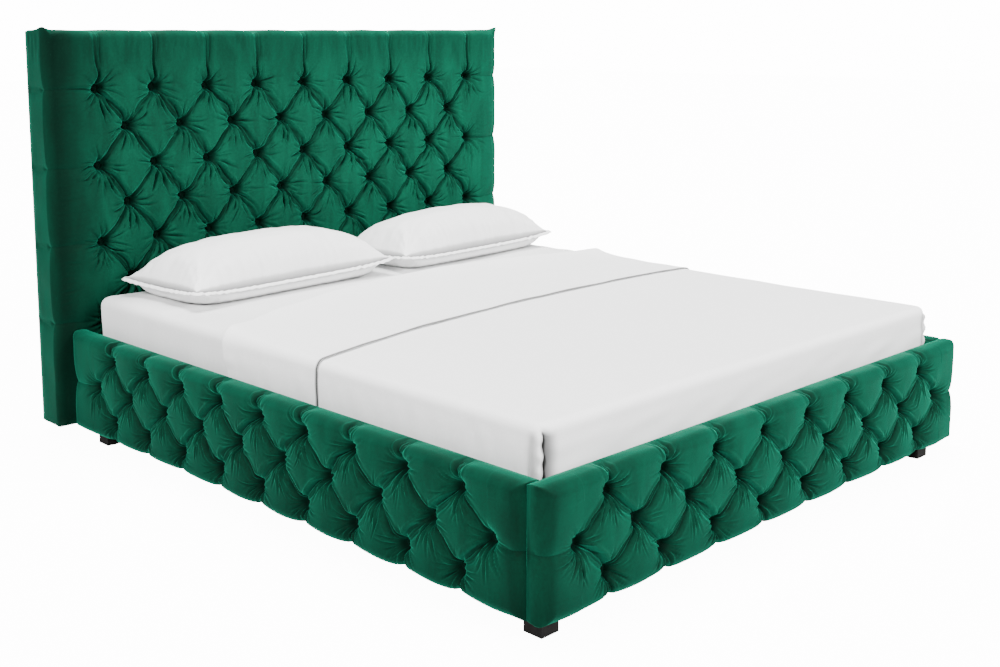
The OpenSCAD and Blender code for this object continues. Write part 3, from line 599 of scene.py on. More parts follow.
def closed_panel(cloth, panel):
    """The panel's points and faces. It is hollow where its board sits."""
    half_x, half_z = panel.length / 2, panel.height / 2
    board_x = cloth.rim_x - cloth.out_x * (panel.cover - BOARD_GAP)
    board_z = cloth.rim_z - cloth.out_z * (panel.cover - BOARD_GAP)
    floor = panel.pad - 0.0003
    edge_x, edge_z, behind = board_x, board_z, 0.0
    if not panel.is_headboard:
        # A low panel's cloth turns in behind its board, further at the top
        turn_in = np.where(cloth.out_z > 0.0, 0.080, 0.020)
        edge_x = np.clip(cloth.rim_x, turn_in - half_x, half_x - turn_in)
        edge_z = np.clip(cloth.rim_z, 0.020 - half_z, half_z - turn_in)
        behind = 0.0012
    start, n = len(cloth.x), len(cloth.rim_x)
    x = np.concatenate([cloth.x, edge_x, edge_x, board_x, board_x, [0.0]])
    z = np.concatenate([cloth.z, edge_z, edge_z, board_z, board_z, [0.0]])
    depths = [panel.depth + behind, panel.depth + 0.15 * behind, panel.depth + 0.15 * behind, floor]
    t = np.concatenate([cloth.t, np.repeat(depths, n), [floor]])

    # Each quad of the face is cut along the pleat that crosses it
    a, b = cloth.index[:-1, :-1], cloth.index[:-1, 1:]
    c, d = cloth.index[1:, 1:], cloth.index[1:, :-1]
    column, line = np.meshgrid(cloth.column[:-1], cloth.line[:-1])
    rising = ((column < 0) | (line < 0) | panel.has_button(column, line))[..., None]
    first = np.where(rising, np.stack([a, b, c], -1), np.stack([a, b, d], -1))
    second = np.where(rising, np.stack([a, c, d], -1), np.stack([b, c, d], -1))
    faces = [first.reshape(-1, 3), second.reshape(-1, 3)]
    loops = cloth.loops + [start + k * n + np.arange(n) for k in range(len(depths))]
    for one, two in zip(loops[:-1], loops[1:]):
        one_next, two_next = np.roll(one, -1), np.roll(two, -1)
        faces.append(np.stack([one, two, one_next], -1))
        faces.append(np.stack([one_next, two, two_next], -1))
    middle = np.full(n, len(x) - 1)
    faces.append(np.stack([loops[-1], middle, np.roll(loops[-1], -1)], -1))
    return panel.world(x, z, t), np.concatenate(faces)


def panel_shade(cloth, panel, settings, drawn, crevice, creases, from_end):
    """Painted shade on the cloth, from 0 in the open to 1 at the bottom of a pit."""
    deep = drawn / panel.pit
    # Painted shade in the pits and down the pleats' crevices
    light = (1.0 - 0.9 * smooth_step(0.30, 0.85, deep)) * (1.0 - 0.8 * crevice)
    facing = np.maximum(-cloth.normal[:, 2], 0.0)
    if panel.is_headboard:
        # Painted shade: the headboard is painted darker towards its left end, where brushed is
        # largest, along its top band and in its pits
        brushed = 1.0 - smooth_step(-0.35 * panel.length, 0.45 * panel.length, cloth.s)
        light *= 1.0 - 0.78 * hump(from_end - 0.012, 0.065) * facing * brushed
        light *= 1.0 - 0.30 * smooth_step(0.20, 0.02, panel.height / 2 - cloth.z)
        light *= 1.0 - 0.60 * smooth_step(0.26, 0.05, from_end) * brushed
        light *= 1.0 - 0.25 * brushed
        light *= 1.0 - 0.62 * smooth_step(0.18, 0.66, deep)
    else:
        # Painted shade near the ends, on the upward-facing top, towards the bottom and at the back
        # seam
        light *= 1.0 - 0.50 * hump(from_end - 0.014, 0.040) * facing
        light *= 1.0 - 0.55 * np.maximum(cloth.normal[:, 1], 0.0)
        light *= 1.0 - 0.35 * smooth_step(0.13, 0.0, cloth.z + panel.height / 2)
        seam = smooth_step(panel.depth - 0.014, panel.depth - 0.003, cloth.t)
        light *= 1.0 - 0.85 * seam * np.abs(cloth.normal[:, 0])
    # Painted shade down in the creases
    light *= 1.0 - 0.88 * np.clip(-creases / settings.crease_height, 0.0, 1.0)
    return 1.0 - light


def tufted_panel(panel, settings, material):
    """The whole padded panel as one closed mesh, from its face round to its back."""
    rng = np.random.default_rng(settings.seed + sum(map(ord, panel.name)))
    cloth = PanelCloth(panel, settings)
    drawn, crevice = draw_in(cloth.s, cloth.w, panel, settings.pleat_depth)
    uneven = 0.0012 * gentle_noise(cloth.s, cloth.w, 0.16, rng)
    creases = crease_cloth(cloth, panel, settings, rng)
    from_end = np.maximum(panel.length / 2 - np.abs(cloth.x), 0.0)
    # The back edge is pulled tight to the board
    hold = 1.0 - smooth_step(panel.depth - 0.022, panel.depth, cloth.t)
    out = how_far_out(cloth, panel, settings, drawn, uneven + creases, hold, from_end)
    wander_pleats(cloth, panel, rng)
    cloth.x += cloth.normal[:, 0] * out
    cloth.z += cloth.normal[:, 1] * out
    cloth.t += cloth.normal[:, 2] * out
    if panel.is_headboard:
        raise_corners(cloth, panel, settings, hold)
    shade = panel_shade(cloth, panel, settings, drawn, crevice, creases, from_end)
    places, faces = closed_panel(cloth, panel)
    obj = mesh_object(panel.name, places, faces)
    paint_fold_shade(obj, np.append(shade, np.zeros(len(places) - len(shade))))
    put_material(obj, material)
    return obj


# ---------------------------------------------------------------- shader node groups

def effect_group(name, inputs):
    """A shader node group with named inputs that gives a colour, a roughness and a height."""
    group = bpy.data.node_groups.new(name, "ShaderNodeTree")
    for label, default in inputs:
        kind = "Float" if isinstance(default, float) else "Color" if len(default) == 4 else "Vector"
        socket = group.interface.new_socket(label, in_out="INPUT", socket_type="NodeSocket" + kind)
        socket.default_value = default
    for label, kind in (("Colour", "Color"), ("Roughness", "Float"), ("Height", "Float")):
        group.interface.new_socket(label, in_out="OUTPUT", socket_type="NodeSocket" + kind)
    coord = group.nodes.new("ShaderNodeTexCoord").outputs["Object"]
    return group, group.nodes.new("NodeGroupInput").outputs, coord


def finish_group(group, colour, roughness, height):
    """Puts out what an effect has worked out."""
    leave = group.nodes.new("NodeGroupOutput")
    for label, value in (("Colour", colour), ("Roughness", roughness), ("Height", height)):
        group.links.new(value, leave.inputs[label])
    return group


def math_node(tree, operation, a, b, clamp=False):
    """A sum on two values, each a number or another node's output."""
    node = tree.nodes.new("ShaderNodeMath")
    node.operation = operation
    node.use_clamp = clamp
    for socket, value in zip(node.inputs, (a, b)):
        if isinstance(value, float):
            socket.default_value = value
        else:
            tree.links.new(value, socket)
    return node.outputs[0]


def add_up(tree, a, share_a, b, share_b, clamp=False):
    """Two values added up, each by its share."""
    return math_node(tree, "ADD", math_node(tree, "MULTIPLY", a, share_a),
                     math_node(tree, "MULTIPLY", b, share_b), clamp)


def noise_node(tree, vector, scale, detail=3.0, roughness=0.5, distortion=0.0):
    """An uneven value from 0 to 1 that changes over the surface."""
    node = tree.nodes.new("ShaderNodeTexNoise")
    node.inputs["Detail"].default_value = detail
    node.inputs["Roughness"].default_value = roughness
    node.inputs["Distortion"].default_value = distortion
    if isinstance(scale, float):
        node.inputs["Scale"].default_value = scale
    else:
        tree.links.new(scale, node.inputs["Scale"])
    tree.links.new(vector, node.inputs["Vector"])
    return node.outputs["Fac"]


def mix_colour(tree, factor, a, b):
    """A colour between a and b, each a colour or another node's output."""
    node = tree.nodes.new("ShaderNodeMix")
    node.data_type = "RGBA"
    for socket, value in ((node.inputs[0], factor), (node.inputs[6], a), (node.inputs[7], b)):
        if isinstance(value, float):
            socket.default_value = value
        elif isinstance(value, tuple):
            socket.default_value = (*value, 1.0)
        else:
            tree.links.new(value, socket)
    return node.outputs[2]


def spread(tree, value, from_low, from_high, to_low=0.0, to_high=1.0):
    """Spreads a range of a value over another range and cuts off what lies beyond."""
    node = tree.nodes.new("ShaderNodeMapRange")
    tree.links.new(value, node.inputs["Value"])
    node.inputs["From Min"].default_value = from_low
    node.inputs["From Max"].default_value = from_high
    node.inputs["To Min"].default_value = to_low
    node.inputs["To Max"].default_value = to_high
    return node.outputs["Result"]


def stretched(tree, coord, scale):
    """The same coordinates, squeezed or stretched along each axis."""
    node = tree.nodes.new("ShaderNodeMapping")
    node.inputs["Scale"].default_value = scale
    tree.links.new(coord, node.inputs["Vector"])
    return node.outputs["Vector"]


def pile_group():
    """Short pile: brushed patches, flecks and a fine nap."""
    if "Pile" in bpy.data.node_groups:
        return bpy.data.node_groups["Pile"]
    group, enter, coord = effect_group("Pile", (
        ("Colour", (0.0, 0.1, 0.05, 1.0)), ("Brushed Colour", (0.0, 0.2, 0.1, 1.0)),
        ("Patch Size", 7.0), ("Nap Size", 900.0)))
    upright = stretched(group, coord, (1.0, 1.0, 0.28))
    patches = noise_node(group, upright, enter["Patch Size"], 3.0, 0.55, 0.6)
    nap = noise_node(group, coord, enter["Nap Size"], 2.0, 0.6)
    flecks = noise_node(group, coord, 160.0, 3.0, 0.65)
    share = add_up(group, spread(group, patches, 0.35, 0.68), 0.62,
                   spread(group, flecks, 0.30, 0.70), 0.38, True)
    return finish_group(
        group, mix_colour(group, share, enter["Colour"], enter["Brushed Colour"]),
        spread(group, share, 0.0, 1.0, 0.62, 0.82), add_up(group, nap, 1.0, flecks, 0.8))


def new_finish(name, group, values, bump_height, bump_strength, sockets, painted_shade_colour=None):
    """A material that wears one effect, and takes on painted_shade_colour as painted shade deep in
    its folds, gaps and pits.

    values are the effect's inputs and sockets the shader's own.
    """
    if name in bpy.data.materials:
        return bpy.data.materials[name]
    material = bpy.data.materials.new(name)
    material.use_nodes = True
    tree = material.node_tree
    shader = tree.nodes["Principled BSDF"]
    effect = tree.nodes.new("ShaderNodeGroup")
    effect.node_tree = group
    for label, value in values.items():
        effect.inputs[label].default_value = value
    colour = effect.outputs["Colour"]
    if painted_shade_colour is not None:
        # Painted shade: the fold attribute mixes the colour towards painted_shade_colour
        fold = tree.nodes.new("ShaderNodeAttribute")
        fold.attribute_name = "fold"
        colour = mix_colour(tree, fold.outputs["Fac"], colour, painted_shade_colour)
    tree.links.new(colour, shader.inputs["Base Color"])
    tree.links.new(effect.outputs["Roughness"], shader.inputs["Roughness"])
    bump = tree.nodes.new("ShaderNodeBump")
    bump.inputs["Strength"].default_value = bump_strength
    bump.inputs["Distance"].default_value = bump_height
    tree.links.new(effect.outputs["Height"], bump.inputs["Height"])
    tree.links.new(bump.outputs["Normal"], shader.inputs["Normal"])
    for label, value in sockets.items():
        shader.inputs[label].default_value = value
    return material


def lit(colour, share=1.0):
    """A colour made lighter or darker, as a colour socket takes it."""
    return (*(min(1.0, share * c) for c in colour), 1.0)


def velvet_material(name, pile, brushed, patch_size, sheen, sheen_roughness, folds=True):
    """Velvet; pile and brushed say how light the pile and its brushed patches are, and folds whether
    it takes painted shade.
    """
    settings = bpy.context.scene.bed_velvet
    return new_finish(
        name, pile_group(),
        {"Colour": lit(settings.pile, pile), "Brushed Colour": lit(settings.pile, brushed),
         "Patch Size": patch_size, "Nap Size": 1400.0},
        0.0004, 0.35,
        {"Specular IOR Level": 0.03, "Sheen Weight": sheen, "Sheen Roughness": sheen_roughness,
         "Sheen Tint": lit(settings.bloom)},
        # The painted shade colour, a tenth as light as the pile
        lit(settings.pile, 0.10 * pile)[:3] if folds else None)


# ---------------------------------------------------------------- repeated small parts

def make_plain(obj, tree, values):
    """Runs a Geometry Nodes tree on an object and keeps its result as a plain mesh."""
    modifier = obj.modifiers.new(tree.name, "NODES")
    modifier.node_group = tree
    for item in tree.interface.items_tree:
        if item.item_type == "SOCKET" and item.in_out == "INPUT" and item.name in values:
            modifier[item.identifier] = values[item.name]
    depsgraph = bpy.context.evaluated_depsgraph_get()
    mesh = bpy.data.meshes.new_from_object(obj.evaluated_get(depsgraph))
    if not mesh.vertices:
        raise RuntimeError(obj.name + " came out empty")
    obj.modifiers.remove(modifier)
    bare = obj.data
    obj.data = mesh
    bpy.data.meshes.remove(bare)
    return obj


def points_object(name, places):
    """An object of loose points."""
    mesh = bpy.data.meshes.new(name)
    mesh.from_pydata([tuple(map(float, place)) for place in places], [], [])
    obj = bpy.data.objects.new(name, mesh)
    bpy.context.scene.collection.objects.link(obj)
    return obj


def tree_with_inputs(name, inputs):
    """A Geometry Nodes tree with named inputs, each (name, type, default)."""
    tree = bpy.data.node_groups.new(name, "GeometryNodeTree")
    tree.interface.new_socket("Geometry", in_out="INPUT", socket_type="NodeSocketGeometry")
    for label, kind, value in inputs:
        socket = tree.interface.new_socket(label, in_out="INPUT", socket_type="NodeSocket" + kind)
        if value is not None:
            socket.default_value = value
    tree.interface.new_socket("Geometry", in_out="OUTPUT", socket_type="NodeSocketGeometry")
    return tree, tree.nodes.new("NodeGroupInput").outputs


def node_after(tree, kind, **links):
    """A new node whose named inputs come from other nodes."""
    node = tree.nodes.new(kind)
    for label, output in links.items():
        tree.links.new(output, node.inputs[label])
    return node


def button_tree():
    """A covered button at every point: a low dome whose cloth is gathered a little."""
    if "Covered Buttons" in bpy.data.node_groups:
        return bpy.data.node_groups["Covered Buttons"]
    tree, enter = tree_with_inputs("Covered Buttons", (
        ("Radius", "Float", BUTTON_RADIUS), ("Dome", "Float", 0.008),
        ("Turn", "Vector", (0.0, 0.0, 0.0)), ("Gather", "Float", 0.0008),
        ("Seed", "Float", 3.0), ("Material", "Material", None)))
    ball = tree.nodes.new("GeometryNodeMeshUVSphere")
    ball.inputs["Segments"].default_value = 18
    ball.inputs["Rings"].default_value = 9
    ball.inputs["Radius"].default_value = 1.0
    size = node_after(tree, "ShaderNodeCombineXYZ",
                      X=enter["Radius"], Y=enter["Radius"], Z=enter["Dome"])
    dome = node_after(tree, "GeometryNodeTransform",
                      Geometry=ball.outputs["Mesh"], Scale=size.outputs["Vector"])
    turn = node_after(tree, "FunctionNodeEulerToRotation", Euler=enter["Turn"])
    place = node_after(tree, "GeometryNodeInstanceOnPoints", Points=enter["Geometry"],
                       Instance=dome.outputs["Geometry"], Rotation=turn.outputs["Rotation"])
    real = node_after(tree, "GeometryNodeRealizeInstances", Geometry=place.outputs["Instances"])

    noise = tree.nodes.new("ShaderNodeTexNoise")
    noise.noise_dimensions = "4D"
    noise.inputs["Scale"].default_value = 240.0
    tree.links.new(enter["Seed"], noise.inputs["W"])
    shift = tree.nodes.new("ShaderNodeVectorMath")
    shift.operation = "SUBTRACT"
    tree.links.new(noise.outputs["Color"], shift.inputs[0])
    shift.inputs[1].default_value = (0.5, 0.5, 0.5)
    gather = tree.nodes.new("ShaderNodeVectorMath")
    gather.operation = "SCALE"
    tree.links.new(shift.outputs["Vector"], gather.inputs[0])
    tree.links.new(enter["Gather"], gather.inputs["Scale"])

    moved = node_after(tree, "GeometryNodeSetPosition",
                       Geometry=real.outputs["Geometry"], Offset=gather.outputs["Vector"])
    real = node_after(tree, "GeometryNodeRealizeInstances", Geometry=moved.outputs["Geometry"])
    smooth = node_after(tree, "GeometryNodeSetShadeSmooth", Geometry=real.outputs["Geometry"])
    painted = node_after(tree, "GeometryNodeSetMaterial",
                         Geometry=smooth.outputs["Geometry"], Material=enter["Material"])
    node_after(tree, "NodeGroupOutput", Geometry=painted.outputs["Geometry"])
    return tree


def build_buttons(panel):
    """The covered buttons of one panel, each down in its pit."""
    seat = np.array(panel.pit + PIT_GAP)
    places = [panel.world(np.array(x), np.array(z), seat) for x, z, _, _ in panel.buttons()]
    obj = points_object(panel.name.replace("Tufted", "Buttons"), places)
    facing = Vector(panel.inward).to_track_quat("Z", "Y").to_euler()
    # The buttons wear a much darker copy of the velvet, painted shade for the depth of their pits
    make_plain(obj, button_tree(), {
        "Radius": 0.0108, "Dome": 0.0070, "Turn": tuple(facing), "Gather": 0.0018, "Seed": 3.0,
        "Material": velvet_material("Button Velvet", 0.12, 0.40, 60.0, 0.06, 0.50, False)})
    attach(obj, "bed_frame")
    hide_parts(panel.buttons_node)


# ---------------------------------------------------------------- mattress and sheets

def mattress_cap(a, b, grow, base):
    """Wraps a flat cloth over the mattress.

    a and b run across and along the cloth from the middle of the bed; grow is how far the
    cloth stands off the mattress. The cloth goes round the corners without any cut.
    """
    foot, top = low("mattress"), high("mattress")
    middle = (foot + top) / 2.0
    inner = (top - foot) / 2.0 - SOFT_CORNER
    edge = SOFT_EDGE + grow
    flat = SOFT_CORNER - SOFT_EDGE
    dx = np.maximum(np.abs(a) - inner[0], 0.0)
    dy = np.maximum(np.abs(b) - inner[1], 0.0)
    far = np.maximum(dx, dy)
    angle = 0.25 * math.pi * np.minimum(dx, dy) / np.maximum(far, 1e-9)
    across = np.where(dx >= dy, np.cos(angle), np.sin(angle)) * (far > 0)
    along = np.where(dx >= dy, np.sin(angle), np.cos(angle)) * (far > 0)
    turn = np.clip((far - flat) / SOFT_EDGE, 0.0, math.pi / 2.0)
    reach = np.where(far > flat, flat + edge * np.sin(turn), far)
    fall = np.maximum(far - flat - SOFT_EDGE * math.pi / 2.0, 0.0)
    x = np.sign(a) * (np.minimum(np.abs(a), inner[0]) + reach * across) + middle[0]
    y = np.sign(b) * (np.minimum(np.abs(b), inner[1]) + reach * along) + middle[1]
    z = top[2] + grow - edge * (1.0 - np.cos(turn)) - fall
    return np.stack([x, y, np.maximum(z, base)], axis=-1)


def plain_normals(a, b):
    """Outward directions of the plain mattress shape under each place of a cloth."""
    step, base = 0.002, -1.0
    one = mattress_cap(a + step, b, 0.0, base) - mattress_cap(a - step, b, 0.0, base)
    two = mattress_cap(a, b + step, 0.0, base) - mattress_cap(a, b - step, 0.0, base)
    return unit(np.cross(one, two))


def cloth_reach(axis, base):
    """Distance over the cloth from the middle of the bed to the cloth's bottom edge."""
    foot, top = low("mattress"), high("mattress")
    half = (top[axis] - foot[axis]) / 2.0
    side = top[2] - SOFT_EDGE - base
    return half - SOFT_EDGE + SOFT_EDGE * math.pi / 2.0 + side


def cap_lines(reach, half, coarse, fine):
    """Mesh lines over the cloth, close together where it turns down."""
    inner = half - 0.11
    flat = np.linspace(-inner, inner, int(round(2.0 * inner / coarse)) + 1)
    edge = np.linspace(inner, reach, int(round((reach - inner) / fine)) + 1)[1:]
    return np.concatenate([-edge[::-1], flat, edge])


def corner_places(place):
    """For both foot corners: outward side, nearness, distance round the corner and depth."""
    foot, top = low("mattress"), high("mattress")
    for side, centre_x in ((-1.0, foot[0] + SOFT_CORNER), (1.0, top[0] - SOFT_CORNER)):
        dx = side * (place[..., 0] - centre_x)
        dy = foot[1] + SOFT_CORNER - place[..., 1]
        near = (dx > -0.03) & (dy > -0.03)
        angle = np.arctan2(dy, dx)
        across = (angle - math.radians(46.0)) * SOFT_CORNER
        deep = smooth_step(0.0, 0.024, top[2] - 0.007 - place[..., 2])
        yield side, near, angle, across, deep


def corner_fold(place):
    """The upright fold where the cloth is tucked at the foot corners, as an outward push."""
    push = np.zeros(place.shape[:-1])
    wave = 1.0 + 0.45 * np.sin(place[..., 2] * 165.0) + 0.25 * np.sin(place[..., 2] * 83.0)
    for _, near, _, across, deep in corner_places(place):
        wall = 0.042 * hump(across, np.where(across < 0.0, 0.0034, 0.0150))
        lip = 0.0060 * hump(across + 0.0085, 0.0045)
        push += np.where(near, deep * (lip * wave - wall), 0.0)
    return push


def corner_shade(place):
    """Painted shade in the tuck at a foot corner, darkest in its gap."""
    shade = np.zeros(place.shape[:-1])
    for _, near, _, across, deep in corner_places(place):
        past = across + 0.002
        left = hump(past, 0.0022) + 0.55 * hump(past + 0.018, 0.010)
        right = 0.08 * hump(past, 0.0065) + 0.92 * np.exp(-(past / 0.034) ** 4)
        shade += np.where(near, 0.96 * deep * np.where(past < 0.0, left, right), 0.0)
    return shade


def corner_overhang(grid):
    """Draws the cloth beside a corner fold over its gap, as a loose edge."""
    moved = grid.copy()
    wave = 1.0 + 0.35 * np.sin(grid[..., 2] * 150.0) + 0.2 * np.sin(grid[..., 2] * 71.0)
    for side, near, angle, across, deep in corner_places(grid):
        slide = 0.0060 * deep * wave * hump(across + 0.0060, 0.0055) * near
        moved[..., 0] -= side * np.sin(angle) * slide
        moved[..., 1] -= np.cos(angle) * slide
    return moved


def soft_waves(a, b, size, seed):
    """The gentle unevenness of a made bed; every layer has the same waves."""
    rng = np.random.default_rng(seed)
    wide = gentle_noise(a, b, 0.55, rng)
    long = gentle_noise(a * 0.35, b, 0.16, rng)
    small = gentle_noise(a, b * 0.5, 0.09, rng)
    return size * (0.55 * wide + 0.35 * long + 0.12 * small)


def surface_normals(grid):
    """The directions out of a cloth's surface, one for each of its points."""
    return unit(np.cross(np.gradient(grid, axis=1), np.gradient(grid, axis=0)))


def shell(name, grid, thickness):
    """A closed cloth: the surface, its other side and the edge between them."""
    half = surface_normals(grid) * thickness / 2.0
    places = np.concatenate([(grid + half).reshape(-1, 3), (grid - half).reshape(-1, 3)])
    n = len(places) // 2
    index = np.arange(n).reshape(grid.shape[:2])
    quads = quads_of(index)
    ring = rim_of(index)
    following = np.roll(ring, -1)
    rim = np.stack([following, ring, ring + n, following + n], -1)
    return mesh_object(name, places, np.concatenate([quads, quads[:, ::-1] + n, rim]))


def two_sided(grid):
    """The points of an upper surface and of one below it that share their rim.

    Gives the index of the upper and of the lower grid; the lower one's inner points come last.
    """
    rows, columns = grid.shape[:2]
    upper = np.arange(rows * columns).reshape(rows, columns)
    lower = upper.copy()
    inner = np.arange((rows - 2) * (columns - 2)).reshape(rows - 2, columns - 2)
    lower[1:-1, 1:-1] = rows * columns + inner
    return upper, lower


def closed_quads(upper, lower):
    """The quads of an upper surface, and those of the lower one, which face down."""
    return np.concatenate([quads_of(upper), quads_of(lower)[:, (0, 3, 2, 1)]])


def joined(upper_places, lower_places):
    """The points that belong to the two indexes of two_sided."""
    return np.concatenate([upper_places.reshape(-1, 3), lower_places[1:-1, 1:-1].reshape(-1, 3)])


def build_mattress(linen):
    """The mattress in its quilted ticking, closed underneath."""
    foot, top = low("mattress"), high("mattress")
    half = (top - foot) / 2.0
    base = foot[2] + 0.0004
    a = cap_lines(cloth_reach(0, base), half[0], 0.030, 0.010)
    b = cap_lines(cloth_reach(1, base), half[1], 0.030, 0.010)
    ga, gb = np.meshgrid(a, b)
    grid = mattress_cap(ga, gb, -0.0006, base)
    diamonds = np.abs(np.sin(ga * 26.0 + gb * 26.0)) * np.abs(np.sin(ga * 26.0 - gb * 26.0))
    push = 0.0012 * (diamonds - 1.0) + corner_fold(grid) - 0.0004
    push += soft_waves(ga, gb, linen.wave_height, linen.seed)
    push *= smooth_step(0.0, 0.02, grid[..., 2] - base)
    grid = grid + surface_normals(grid) * push[..., None]

    # The underside is drawn in evenly from the bottom edge to the middle
    share_a, share_b = ga / a[-1], gb / b[-1]
    size_a, size_b = np.abs(share_a), np.abs(share_b)
    rim_a = np.where(size_a >= size_b, np.sign(share_a), share_a / np.maximum(size_b, 1e-9))
    rim_b = np.where(size_b > size_a, np.sign(share_b), share_b / np.maximum(size_a, 1e-9))
    rim = mattress_cap(rim_a * a[-1], rim_b * b[-1], -0.001, base)
    middle = np.array([*((foot + top) / 2.0)[:2], base])
    below = middle + (rim - middle) * np.maximum(size_a, size_b)[..., None]
    below[..., 2] = base
    obj = mesh_object("Mattress", joined(grid, below), closed_quads(*two_sided(grid)))
    put_material(obj, ticking_material())
    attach(obj, "made_up_mattress")
    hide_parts("mattress")


def build_fitted_sheet(linen):
    """The fitted sheet: stretched over the mattress, gathered round its bottom edge."""
    base = low("fitted_sheet")[2] + 0.0012
    half = (high("mattress") - low("mattress")) / 2.0
    reach_a, reach_b = cloth_reach(0, base), cloth_reach(1, base)
    a = cap_lines(reach_a, half[0], 0.020, 0.0085)
    b = cap_lines(reach_b, half[1], 0.020, 0.0085)
    ga, gb = np.meshgrid(a, b)
    grid = mattress_cap(ga, gb, 0.0011, base)
    push = corner_fold(grid) + soft_waves(ga, gb, linen.wave_height, linen.seed)
    rng = np.random.default_rng(linen.seed + 5)
    low_down = 1.0 - smooth_step(0.0, 0.09, grid[..., 2] - base)
    push += 0.0012 * low_down * gentle_noise(ga, gb, 0.035, rng)
    # It is looser at the head, where the flat sheet doesn't cover it
    bare = smooth_step(0.10, 0.24, grid[..., 1])
    push += 0.0022 * bare * (1.0 + gentle_noise(ga * 0.5, gb * 1.2, 0.15, rng))
    shade = corner_shade(grid)
    grid = grid + surface_normals(grid) * push[..., None]
    grid[..., 2] = np.maximum(grid[..., 2], base)
    obj = shell("Fitted_Sheet", grid, 0.0014)
    paint_fold_shade(obj, np.tile(shade.ravel(), 2))
    put_material(obj, cotton_material(linen, "Fitted Cotton", 0.90))
    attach(obj, "made_up_mattress")
    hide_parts("fitted_sheet")


def fold_line(a):
    """Where the flat sheet is folded back, measured along the bed from its middle."""
    centre = (low("mattress")[1] + high("mattress")[1]) / 2.0
    return 0.165 + 0.300 * (1.0 - np.clip((a - 0.15) / 1.06, -1.0, 1.0) ** 2) - centre


def hem_line(a):
    """Where the turned-back band ends."""
    centre = (low("mattress")[1] + high("mattress")[1]) / 2.0
    return -0.088 - 0.16 * np.clip((a - 0.35) / 1.25, -1.0, 1.0) ** 2 - centre


def flat_sheet_rows(a, lead, fold, hem, side, linen):
    """The flat sheet's mesh rows: up from the foot, round the fold and back along the band.

    lead holds the rows of the tucked foot end and side is 1 where the sheet lies beside the
    mattress. Gives each point's place along the bed and its height above the lowest layer.
    """
    places = [np.full(len(a), value) for value in lead]
    lengths = np.append(graded(1.0, 0.0, 0.004, 0.012)[::-1], 1.0)
    places += [lead[-1] + (fold - lead[-1]) * part for part in lengths if part > 0.004]
    heights = [np.zeros(len(a)) for _ in places]
    roll = linen.fold_radius * (1.0 - side) + 0.0040 * side
    for turn in np.linspace(0.0, math.pi, 11)[1:]:
        places.append(fold + roll * math.sin(turn))
        heights.append(roll * (1.0 - math.cos(turn)))
    for part in np.append(graded(0.0, 1.0, 0.010, 0.030)[:-1], (0.991, 1.0)):
        back = (fold - hem) * part
        near = np.exp(-back / 0.070)
        end = np.exp(-(fold - hem - back) / 0.018) * (1.0 - 0.6 * side)
        places.append(fold - back)
        heights.append(2.0 * roll * near + (1.0 - near) * 0.0028 + 0.0022 * end)
    return np.array(places), np.array(heights)


def build_flat_sheet(linen):
    """The flat sheet: tucked in at the foot and the sides, its head end folded back."""
    base = low("flat_sheet")[2] + 0.0012
    half = (high("mattress") - low("mattress")) / 2.0
    reach_a, reach_b = cloth_reach(0, base), cloth_reach(1, base)
    a = cap_lines(reach_a, half[0], 0.018, 0.0075)
    lead = cap_lines(reach_b, half[1], 0.018, 0.0075)
    lead = lead[lead < -half[1] + 0.13]
    fold, hem = fold_line(a), hem_line(a)
    in_well = reach_a - 0.13
    side = smooth_step(in_well - 0.045, in_well, np.abs(a))
    gb, above = flat_sheet_rows(a, lead, fold, hem, side, linen)
    ga = np.broadcast_to(a, gb.shape)
    # Where the fold goes over the edge of the mattress it stands up a little
    standing = np.exp(-np.abs(gb - fold) / 0.070) * hump(np.abs(ga) - half[0] + 0.01, 0.055)
    grid = mattress_cap(ga, gb, 0.0031 + above + 0.007 * standing, base)
    height = grid[..., 2]
    lowest = above < 1e-6
    push = np.where(lowest, corner_fold(grid), 0.0)
    push += soft_waves(ga, gb, linen.wave_height, linen.seed)
    shade = np.where(lowest, corner_shade(grid), 0.0)
    rng = np.random.default_rng(linen.seed + 11)
    loose = np.clip(above / 0.004, 0.0, 1.0) * (1.0 - 0.7 * side)
    push += loose * 0.0014 * (1.0 + gentle_noise(ga, gb * 1.6, 0.21, rng))
    hangs = smooth_step(0.02, 0.06, high("mattress")[2] - height)
    bands = gentle_noise(ga * 0.30, gb, 0.060, rng, 9)
    push += hangs * smooth_step(0.0, 0.1, height - base) * 0.0017 * (1.0 + bands)
    grid = corner_overhang(grid + plain_normals(ga, gb) * push[..., None])
    grid[..., 2] = np.maximum(grid[..., 2], base)
    obj = shell("Flat_Sheet", grid, 0.0016)
    # Painted shade along the hem's edge and on what lies under it
    under = shade.copy()
    under[-2:] = 1.0
    shade[-1] = 0.40
    paint_fold_shade(obj, np.concatenate([shade.ravel(), under.ravel()]))
    put_material(obj, cotton_material(linen))
    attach(obj, "made_up_mattress")
    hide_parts("flat_sheet")


# ---------------------------------------------------------------- pillows

def crowded(count):
    """Places from -1 to 1 that crowd towards both ends."""
    even = np.linspace(-1.0, 1.0, count)
    return even + 0.5 * np.sin(math.pi * even) / math.pi


